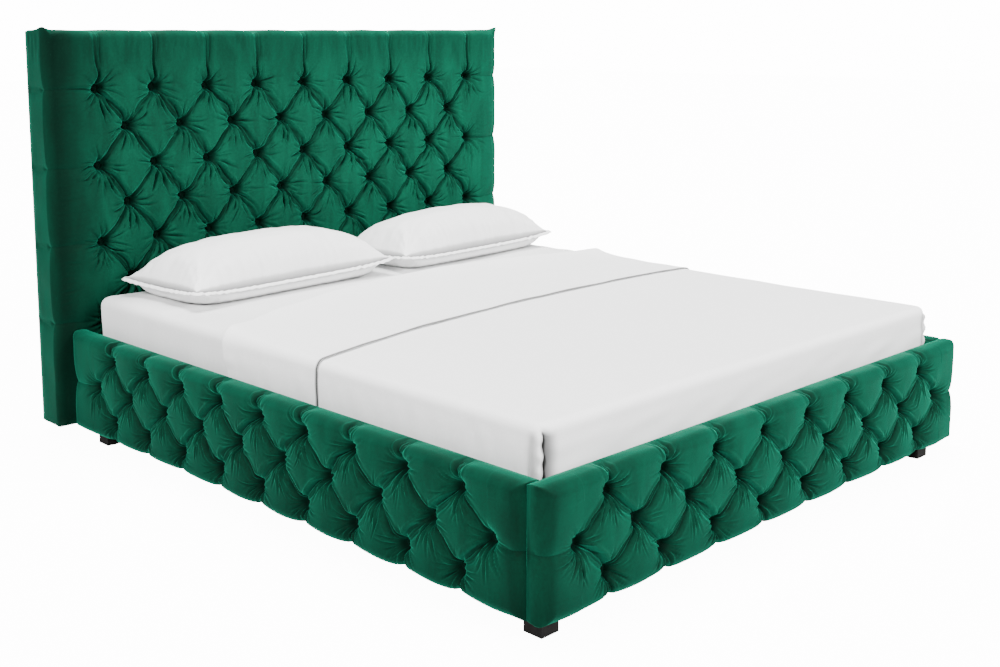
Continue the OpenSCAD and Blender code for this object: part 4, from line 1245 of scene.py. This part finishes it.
def pillow_surfaces(length, width, linen, rng):
    """Upper and lower side of a filled pillow lying on its own flat plane at height 0."""
    u, v = np.meshgrid(*(crowded(count) for count in PILLOW_LINES))
    full = np.clip((1.0 - np.abs(u) ** 3.2) * (1.0 - np.abs(v) ** 2.6), 0.0, 1.0)
    swell = full ** 0.5
    x = 0.5 * length * u * (1.0 - 0.050 * (1.0 - v * v) * np.abs(u) ** 3)
    y = 0.5 * width * v * (1.0 - 0.075 * (1.0 - u * u) * np.abs(v) ** 3)
    from_end = 0.5 * length * (1.0 - np.abs(u))
    from_side = 0.5 * width * (1.0 - np.abs(v))
    edge = np.minimum(from_end, from_side)
    tips = np.hypot(from_end, from_side)
    seam = linen.pillow_seam * (0.72 + 0.28 * np.exp(-tips / 0.09))
    # Puckers along the seam, spokes out of the corners and crumples over the middle
    run = np.where(from_side < from_end, x, y + 5.0)
    pucker = gentle_noise(run, edge * 0.15, 0.034, rng, 9) * np.exp(-edge / 0.035)
    pucker += 0.7 * gentle_noise(run, edge * 0.25, 0.017, rng, 9) * np.exp(-edge / 0.018)
    angle = np.arctan2(from_side, from_end + 1e-6)
    spokes = np.sin(angle * 17.0 + 3.0 * np.sign(u) + 5.0 * np.sign(v)) * np.exp(-tips / 0.11)
    spokes *= smooth_step(0.015, 0.06, tips)
    crumple = 0.6 * gentle_noise(x, y * 0.7, 0.13, rng, 9)
    crumple += 0.5 * gentle_noise(x * 0.6, y, 0.055, rng, 9)
    wrinkles = np.clip(full * 4.0, 0.0, 1.0) * linen.wrinkles
    rise = (linen.pillow_height - seam) * swell
    rise += wrinkles * (0.9 * crumple + 2.4 * pucker + 1.5 * spokes)
    z = seam - (0.095 * swell + wrinkles * (0.6 * crumple + 1.6 * pucker))
    soft = 0.010
    z = np.where(z > soft, z, soft * np.exp(np.clip((z - soft) / soft, -30.0, 0.0)))
    return np.stack([x, y, seam + rise], axis=-1), np.stack([x, y, z], axis=-1)


def flange_band(rim, linen, rng):
    """The narrow flat edge of a pillowcase, as a closed band round the seam."""
    count = len(rim)
    ahead = np.roll(rim, -1, axis=0) - np.roll(rim, 1, axis=0)
    out = unit(np.stack([ahead[:, 1], -ahead[:, 0], np.zeros(count)], axis=-1), 1e-9)
    run = np.cumsum(np.linalg.norm(np.roll(rim, -1, axis=0) - rim, axis=-1))
    turns = 2.0 * math.pi * run / run[-1]
    ripple = np.zeros(count)
    for _ in range(9):
        ripple += np.sin(turns * int(rng.integers(30, 95)) + rng.uniform(0.0, 2.0 * math.pi)) / 4.0
    up = np.array([0.0, 0.0, 1.0])
    wide = linen.flange
    rings = []
    for reach, height, wave in ((-0.004, 0.0006, 0.2), (0.003, 0.0008, 0.6), (0.005, 0.0018, 0.8),
                                (wide, -0.0050, 1.0), (wide, -0.0070, 1.0), (0.004, -0.0016, 0.6),
                                (-0.004, -0.0011, 0.2)):
        lift = height + 0.0022 * wave * ripple
        rings.append(rim + out * (reach + 0.0008 * wave * ripple)[:, None] + up * lift[:, None])
    verts = np.concatenate(rings)
    faces = []
    index = np.arange(count)
    following = np.roll(index, -1)
    for k in range(len(rings)):
        here, there = k * count, ((k + 1) % len(rings)) * count
        faces.append(np.stack([index + here, index + there, following + there, following + here], -1))
    return verts, np.concatenate(faces)


def even_out(mesh, move, rounds=16):
    """Spreads each point's movement over its neighbours, so a swollen cloth stays smooth."""
    ends = np.empty(len(mesh.edges) * 2, dtype=np.int32)
    mesh.edges.foreach_get("vertices", ends)
    one, two = ends[0::2], ends[1::2]
    count = len(mesh.vertices)
    touching = np.bincount(one, minlength=count) + np.bincount(two, minlength=count)
    for _ in range(rounds):
        total = np.empty_like(move)
        for axis in range(3):
            total[:, axis] = np.bincount(one, weights=move[two, axis], minlength=count)
            total[:, axis] += np.bincount(two, weights=move[one, axis], minlength=count)
        move = 0.5 * move + 0.5 * total / touching[:, None]
    return move


def swell_cloth(obj, held, linen):
    """Lets a pillow's filling swell its case, which is held at the seam and underneath."""
    scene = bpy.context.scene
    before = np.empty(len(obj.data.vertices) * 3, dtype=np.float32)
    obj.data.vertices.foreach_get("co", before)
    group = obj.vertex_groups.new(name="Held")
    group.add([int(i) for i in held], 1.0, "REPLACE")
    cloth = obj.modifiers.new("Cloth", "CLOTH")
    cloth.settings.quality = 3
    cloth.settings.mass = 0.25
    cloth.settings.tension_stiffness = 20.0
    cloth.settings.compression_stiffness = 20.0
    cloth.settings.shear_stiffness = 8.0
    cloth.settings.bending_stiffness = 0.3
    cloth.settings.use_pressure = True
    cloth.settings.uniform_pressure_force = linen.filling_pressure
    cloth.settings.shrink_min = -linen.spare_cloth
    cloth.settings.vertex_group_mass = "Held"
    cloth.settings.effector_weights.gravity = 0.0
    cloth.point_cache.frame_start = 1
    cloth.point_cache.frame_end = SWELL_FRAMES
    for frame_number in range(1, SWELL_FRAMES + 1):
        scene.frame_set(frame_number)
    depsgraph = bpy.context.evaluated_depsgraph_get()
    result = obj.evaluated_get(depsgraph).to_mesh()
    after = np.empty_like(before)
    result.vertices.foreach_get("co", after)
    obj.evaluated_get(depsgraph).to_mesh_clear()
    obj.modifiers.remove(cloth)
    obj.vertex_groups.remove(group)
    scene.frame_set(1)
    before = before.reshape(-1, 3)
    move = even_out(obj.data, after.reshape(-1, 3) - before)
    size = np.linalg.norm(move, axis=-1, keepdims=True)
    move *= linen.most_swell * np.tanh(size / linen.most_swell) / np.maximum(size, 1e-9)
    obj.data.vertices.foreach_set("co", (before + move).astype(np.float32).ravel())
    obj.data.update()


def build_pillow(name, body, linen, seed):
    """One pillow in its case, its seam puckered and its corners drawn out."""
    rng = np.random.default_rng(linen.seed + seed)
    case = body + "case"
    foot, top = low(case), high(case)
    turn = math.radians(linen.pillow_turn)
    # The turned pillow fills its case's box, apart from its corners, which are drawn out
    span = top - foot
    share = math.cos(turn) ** 2 - math.sin(turn) ** 2
    length = (span[0] * math.cos(turn) - span[1] * math.sin(turn)) / share + 0.040
    width = (span[1] * math.cos(turn) - span[0] * math.sin(turn)) / share + 0.006
    upper, lower = pillow_surfaces(length - 2.0 * linen.flange, width - 2.0 * linen.flange,
                                   linen, rng)
    index, lower_index = two_sided(upper)
    ring = rim_of(index)
    sides = joined(upper, lower)
    band, band_faces = flange_band(sides[ring], linen, rng)
    places = np.concatenate([sides, band])
    faces = np.concatenate([closed_quads(index, lower_index), band_faces + len(sides)])
    turned = places.copy()
    turned[:, 0] = places[:, 0] * math.cos(turn) - places[:, 1] * math.sin(turn)
    turned[:, 1] = places[:, 0] * math.sin(turn) + places[:, 1] * math.cos(turn)
    centre = (foot + top) / 2.0
    turned += np.array([centre[0] + 0.014 * np.sign(centre[0]), centre[1], foot[2] + 0.0015])
    obj = mesh_object(name, turned, faces)
    resting = np.flatnonzero(sides[:, 2] < 0.014)
    band_points = np.arange(len(sides), len(places))
    swell_cloth(obj, np.unique(np.concatenate([ring, resting, band_points])), linen)
    # Painted shade along the case's seam, inside the band and where it meets the sheet
    row, column = np.indices(index.shape)
    from_seam = np.minimum(np.minimum(row, row[::-1]), np.minimum(column, column[:, ::-1]))
    shade = np.zeros(len(places))
    shade[:index.size] = 0.75 * hump(from_seam, 1.3).ravel()
    shade[len(sides):] = np.repeat([0.75, 0.45, 0.0, 0.0, 0.35, 0.9, 0.9], len(ring))
    shade = np.maximum(shade, 0.8 * (1.0 - smooth_step(0.004, 0.016, places[:, 2])))
    paint_fold_shade(obj, shade)
    put_material(obj, cotton_material(linen))
    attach(obj, body)
    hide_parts(case, body)


def weave_group():
    """Plain woven cotton: crossing threads, a few slubs and soft wrinkles."""
    if "Weave" in bpy.data.node_groups:
        return bpy.data.node_groups["Weave"]
    group, enter, coord = effect_group("Weave", (
        ("Colour", (0.9, 0.9, 0.9, 1.0)), ("Thread Colour", (0.8, 0.8, 0.8, 1.0)),
        ("Thread Count", 900.0), ("Wrinkle Size", 9.0)))
    threads = [noise_node(group, stretched(group, coord, squeeze), enter["Thread Count"], 2.0, 0.6)
               for squeeze in ((1.0, 0.06, 0.06), (0.06, 1.0, 1.0))]
    weave = math_node(group, "MAXIMUM", *threads)
    wrinkle = noise_node(group, coord, enter["Wrinkle Size"], 4.0, 0.5, 0.7)
    share = spread(group, weave, 0.45, 0.75)
    return finish_group(
        group, mix_colour(group, share, enter["Thread Colour"], enter["Colour"]),
        spread(group, weave, 0.3, 0.8, 0.92, 0.78), add_up(group, weave, 0.12, wrinkle, 0.9))


def cotton_material(linen, name="White Cotton", tone=1.0):
    """Washed white cotton, with painted shade down in its folds and gaps."""
    return new_finish(
        name, weave_group(),
        {"Colour": lit(linen.cotton, tone), "Thread Colour": lit(linen.cotton, 0.93 * tone),
         "Thread Count": 1100.0, "Wrinkle Size": 10.0},
        0.004, 0.30, {"Specular IOR Level": 0.25, "Sheen Weight": 0.08, "Sheen Roughness": 0.5},
        lit(linen.cotton, 0.05 * tone)[:3])


def ticking_material():
    """The mattress's own coarser cover, a bluish white."""
    return new_finish(
        "Mattress Ticking", weave_group(),
        {"Colour": (0.78, 0.79, 0.82, 1.0), "Thread Colour": (0.60, 0.63, 0.70, 1.0),
         "Thread Count": 420.0, "Wrinkle Size": 26.0}, 0.003, 0.4, {})


# ---------------------------------------------------------------- hidden frame materials

def grain_group():
    """Sawn wood: long grain, darker latewood lines, pores and a dull sheen."""
    if "Grain" in bpy.data.node_groups:
        return bpy.data.node_groups["Grain"]
    group, enter, coord = effect_group("Grain", (
        ("Colour", (0.6, 0.4, 0.2, 1.0)), ("Line Colour", (0.4, 0.25, 0.12, 1.0)),
        ("Stretch", (1.0, 1.0, 1.0)), ("Line Size", 60.0), ("Wear", 0.3)))
    stretch = group.nodes.new("ShaderNodeVectorMath")
    stretch.operation = "MULTIPLY"
    group.links.new(coord, stretch.inputs[0])
    group.links.new(enter["Stretch"], stretch.inputs[1])
    along = stretch.outputs["Vector"]
    lines = noise_node(group, along, enter["Line Size"], 5.0, 0.6, 1.2)
    pores = noise_node(group, along, 700.0, 2.0, 0.5)
    patches = noise_node(group, coord, 5.0, 3.0, 0.5)
    share = spread(group, lines, 0.42, 0.60)
    colour = mix_colour(group, share, enter["Colour"], enter["Line Colour"])
    worn = math_node(group, "MULTIPLY", spread(group, patches, 0.45, 0.75), enter["Wear"])
    pale = mix_colour(group, 0.5, enter["Colour"], (0.75, 0.68, 0.58))
    return finish_group(
        group, mix_colour(group, worn, colour, pale),
        spread(group, lines, 0.3, 0.7, 0.52, 0.74), add_up(group, lines, 0.6, pores, 0.4))


def speckle_group():
    """Metal, plastic or felt: speckles, scuffs and a fine rough surface."""
    if "Speckle" in bpy.data.node_groups:
        return bpy.data.node_groups["Speckle"]
    group, enter, coord = effect_group("Speckle", (
        ("Colour", (0.5, 0.5, 0.5, 1.0)), ("Scuff Colour", (0.6, 0.6, 0.6, 1.0)),
        ("Grit Size", 300.0), ("Smooth", 0.3), ("Rough", 0.5)))
    grit = noise_node(group, coord, enter["Grit Size"], 4.0, 0.6)
    scuffs = noise_node(group, coord, 38.0, 5.0, 0.7, 2.0)
    share = spread(group, scuffs, 0.52, 0.72)
    gap = math_node(group, "SUBTRACT", enter["Rough"], enter["Smooth"])
    rough = math_node(group, "ADD", enter["Smooth"], math_node(group, "MULTIPLY", grit, gap))
    return finish_group(
        group, mix_colour(group, share, enter["Colour"], enter["Scuff Colour"]), rough, grit)


def wood_material(name, colour, line_colour, axis, line_size, wear, gloss=0.5):
    """Wood with its grain along one axis of the bed."""
    stretch = [1.0, 1.0, 1.0]
    stretch["XYZ".index(axis)] = 0.06
    return new_finish(
        name + " " + axis, grain_group(),
        {"Colour": lit(colour), "Line Colour": lit(line_colour), "Stretch": tuple(stretch),
         "Line Size": line_size, "Wear": wear}, 0.0006, 0.5, {"Specular IOR Level": gloss})


def speckled_material(name, colour, scuff_colour, grit_size, smooth, rough, metal=0.0):
    """Metal, plastic or cloth whose roughness lies between smooth and rough."""
    return new_finish(
        name, speckle_group(),
        {"Colour": lit(colour), "Scuff Colour": lit(scuff_colour), "Grit Size": grit_size,
         "Smooth": smooth, "Rough": rough}, 0.0003, 0.4, {"Metallic": metal})


def pine(axis):
    """Sawn timber of the frame, its grain along one axis."""
    return wood_material("Pine", (0.62, 0.42, 0.22), (0.40, 0.23, 0.10), axis, 38.0, 0.35)


def birch(axis):
    """Plywood of the boards and slats, its face grain along one axis."""
    return wood_material("Birch Plywood", (0.66, 0.50, 0.31), (0.50, 0.35, 0.19), axis, 24.0, 0.25)


def dress_frame():
    """Gives every carried-over piece of the frame its wood, metal, plastic or cloth."""
    black_wood = wood_material("Black Stained Wood", (0.0028, 0.0024, 0.0022),
                               (0.0062, 0.0054, 0.005), "Z", 90.0, 0.003, 0.15)
    steel = speckled_material("Zinc-Plated Steel", (0.55, 0.56, 0.58), (0.42, 0.43, 0.46),
                              420.0, 0.26, 0.46, 1.0)
    plastic = speckled_material("Black Plastic", (0.016, 0.016, 0.017), (0.030, 0.030, 0.031),
                                900.0, 0.42, 0.62)
    lining = speckled_material("Black Lining Cloth", (0.018, 0.018, 0.019), (0.034, 0.034, 0.036),
                               520.0, 0.82, 0.95)
    for material, nodes in (
            (pine("X"), ("headboard_rails", "foot_base_plate")),
            (pine("Y"), ("left_rail_base_plate", "right_rail_base_plate", "left_slat_ledger",
                         "right_slat_ledger", "centre_rail")),
            (pine("Z"), ("headboard_stiles",)),
            (birch("X"), ("headboard_board", "headboard_back_panel", "foot_board", "left_slats",
                          "right_slats")),
            (birch("Y"), ("left_rail_board", "right_rail_board")),
            (black_wood, ("front_left_leg", "front_right_leg", "rear_left_leg", "rear_right_leg",
                          "centre_legs")),
            (steel, ("headboard_button_ties", "foot_button_ties", "left_rail_button_ties",
                     "right_rail_button_ties", "ledger_screws", "foot_brackets",
                     "headboard_brackets", "bracket_bolts", "tee_nuts", "headboard_bolts",
                     "centre_rail_hangers", "hanger_screws", "leg_bolts")),
            (plastic, ("slat_end_caps", "slat_centre_caps", "leg_glides")),
            (lining, ("headboard_back_cloth",))):
        for node in nodes:
            for slot in bpy.data.objects[node].material_slots:
                slot.material = material


# ---------------------------------------------------------------- one panel after another

def build_panel(name, prefix, along, inward, longest, rows=3):
    """One padded panel with its buttons, made from the frame nodes that start with prefix."""
    panel = PaddedPanel(name, prefix, along, inward, longest, rows)
    if panel.is_headboard:
        # The headboard wears a lighter copy of the velvet, painted light for the stronger light that
        # falls on its face
        velvet = velvet_material("Headboard Velvet", 2.0, 4.8, 17.0, 0.44, 0.48)
    else:
        velvet = velvet_material("Green Velvet", 1.0, 2.4, 17.0, 0.44, 0.48)
    obj = tufted_panel(panel, bpy.context.scene.bed_tufting, velvet)
    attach(obj, "bed_frame")
    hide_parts(*panel.nodes)
    build_buttons(panel)


# ---------------------------------------------------------------- operators

class BED_OT_stage(bpy.types.Operator):
    """Makes the camera, the pale floor and the studio lights"""
    bl_idname = "bed.stage"
    bl_label = "Stage"

    def execute(self, context):
        scene = context.scene
        data = bpy.data.cameras.new("Camera")
        camera = bpy.data.objects.new("Camera", data)
        scene.collection.objects.link(camera)
        data.sensor_width = 36.0
        data.lens = 46.96
        data.shift_y = -0.1275
        data.clip_end = 100.0
        camera.location = CAMERA_PLACE
        turn, tilt = math.radians(CAMERA_TURN), math.radians(CAMERA_TILT)
        ahead = Vector((math.sin(turn) * math.cos(tilt), math.cos(turn) * math.cos(tilt),
                        math.sin(tilt)))
        camera.rotation_euler = ahead.to_track_quat("-Z", "Y").to_euler()
        scene.camera = camera

        # The floor and the background are lifted to white for the camera only
        bpy.ops.mesh.primitive_plane_add(size=60.0, location=(0.0, 0.0, 0.0))
        floor = context.object
        floor.name = "Floor"
        material = bpy.data.materials.new("Pale Floor")
        material.use_nodes = True
        tree = material.node_tree
        shader = tree.nodes["Principled BSDF"]
        coord = tree.nodes.new("ShaderNodeTexCoord").outputs["Object"]
        shade = mix_colour(tree, noise_node(tree, coord, 3.0, 2.0),
                           (0.44, 0.44, 0.44), (0.46, 0.46, 0.46))
        tree.links.new(shade, shader.inputs["Base Color"])
        shader.inputs["Roughness"].default_value = 0.9
        shader.inputs["Emission Color"].default_value = (1.0, 1.0, 1.0, 1.0)
        seen = tree.nodes.new("ShaderNodeLightPath").outputs["Is Camera Ray"]
        tree.links.new(math_node(tree, "MULTIPLY", seen, 12.5), shader.inputs["Emission Strength"])
        put_material(floor, material)

        world = bpy.data.worlds.new("Studio")
        scene.world = world
        world.use_nodes = True
        tree = world.node_tree
        seen = tree.nodes.new("ShaderNodeLightPath").outputs["Is Camera Ray"]
        tree.nodes["Background"].inputs["Color"].default_value = (1.0, 1.0, 1.0, 1.0)
        tree.links.new(spread(tree, seen, 0.0, 1.0, 0.35, 15.0),
                       tree.nodes["Background"].inputs["Strength"])
        for name, (direction, softness, strength) in LIGHTS.items():
            light = bpy.data.lights.new(name, "SUN")
            light.angle = math.radians(softness)
            light.energy = strength
            lamp = bpy.data.objects.new(name, light)
            lamp.rotation_euler = Vector(direction).to_track_quat("-Z", "Y").to_euler()
            scene.collection.objects.link(lamp)
        return {"FINISHED"}


class BED_OT_headboard(bpy.types.Operator):
    """Makes the headboard's buttoned velvet"""
    bl_idname = "bed.headboard"
    bl_label = "Headboard"

    def execute(self, context):
        build_panel("Tufted_Headboard", "headboard", (1.0, 0.0, 0.0), (0.0, 1.0, 0.0), 9, rows=7)
        return {"FINISHED"}


class BED_OT_foot_panel(bpy.types.Operator):
    """Makes the foot panel's buttoned velvet"""
    bl_idname = "bed.foot_panel"
    bl_label = "Foot Panel"

    def execute(self, context):
        build_panel("Tufted_Foot_Panel", "foot", (1.0, 0.0, 0.0), (0.0, 1.0, 0.0), 9)
        return {"FINISHED"}


class BED_OT_side_rails(bpy.types.Operator):
    """Makes the side rails' buttoned velvet"""
    bl_idname = "bed.side_rails"
    bl_label = "Side Rails"

    def execute(self, context):
        build_panel("Tufted_Left_Rail", "left_rail", (0.0, -1.0, 0.0), (1.0, 0.0, 0.0), 10)
        build_panel("Tufted_Right_Rail", "right_rail", (0.0, 1.0, 0.0), (-1.0, 0.0, 0.0), 10)
        return {"FINISHED"}


class BED_OT_bedding(bpy.types.Operator):
    """Makes the mattress, the fitted sheet and the folded flat sheet"""
    bl_idname = "bed.bedding"
    bl_label = "Mattress and Sheets"

    def execute(self, context):
        linen = context.scene.bed_linen
        build_mattress(linen)
        build_fitted_sheet(linen)
        build_flat_sheet(linen)
        return {"FINISHED"}


class BED_OT_pillows(bpy.types.Operator):
    """Makes the two pillows in their cases"""
    bl_idname = "bed.pillows"
    bl_label = "Pillows"

    def execute(self, context):
        linen = context.scene.bed_linen
        build_pillow("Left_Pillow", "left_pillow", linen, 21)
        build_pillow("Right_Pillow", "right_pillow", linen, 34)
        return {"FINISHED"}


class BED_OT_frame(bpy.types.Operator):
    """Gives the hidden timber, metal and plastic parts their materials"""
    bl_idname = "bed.frame"
    bl_label = "Frame Materials"

    def execute(self, context):
        dress_frame()
        return {"FINISHED"}


class BED_PT_sidebar(bpy.types.Panel):
    """Buttons and settings of the bed"""
    bl_idname = "BED_PT_sidebar"
    bl_label = "Deep-Buttoned Bed"
    bl_space_type = "VIEW_3D"
    bl_region_type = "UI"
    bl_category = "Bed"

    def draw(self, context):
        layout = self.layout
        for group in (context.scene.bed_tufting, context.scene.bed_velvet, context.scene.bed_linen):
            box = layout.box()
            for label in group.bl_rna.properties.keys():
                if label not in ("rna_type", "name"):
                    box.prop(group, label)
        for step in MAKING_ORDER:
            layout.operator("bed." + step)


MAKING_ORDER = ("stage", "headboard", "foot_panel", "side_rails", "bedding", "pillows", "frame")

CLASSES = (
    BedTuftingSettings,
    BedVelvetSettings,
    BedLinenSettings,
    BED_OT_stage,
    BED_OT_headboard,
    BED_OT_foot_panel,
    BED_OT_side_rails,
    BED_OT_bedding,
    BED_OT_pillows,
    BED_OT_frame,
    BED_PT_sidebar,
)


def register():
    """Adds the bed's settings, operators and sidebar."""
    for cls in CLASSES:
        bpy.utils.register_class(cls)
    bpy.types.Scene.bed_tufting = PointerProperty(type=BedTuftingSettings)
    bpy.types.Scene.bed_velvet = PointerProperty(type=BedVelvetSettings)
    bpy.types.Scene.bed_linen = PointerProperty(type=BedLinenSettings)


def unregister():
    """Takes them away again."""
    del bpy.types.Scene.bed_linen
    del bpy.types.Scene.bed_velvet
    del bpy.types.Scene.bed_tufting
    for cls in reversed(CLASSES):
        bpy.utils.unregister_class(cls)


def main():
    """Makes the whole bed."""
    register()
    bpy.ops.bed.stage()
    bpy.ops.bed.headboard()
    bpy.ops.bed.foot_panel()
    bpy.ops.bed.side_rails()
    bpy.ops.bed.bedding()
    bpy.ops.bed.pillows()
    bpy.ops.bed.frame()


if __name__ == "__main__":
    main()
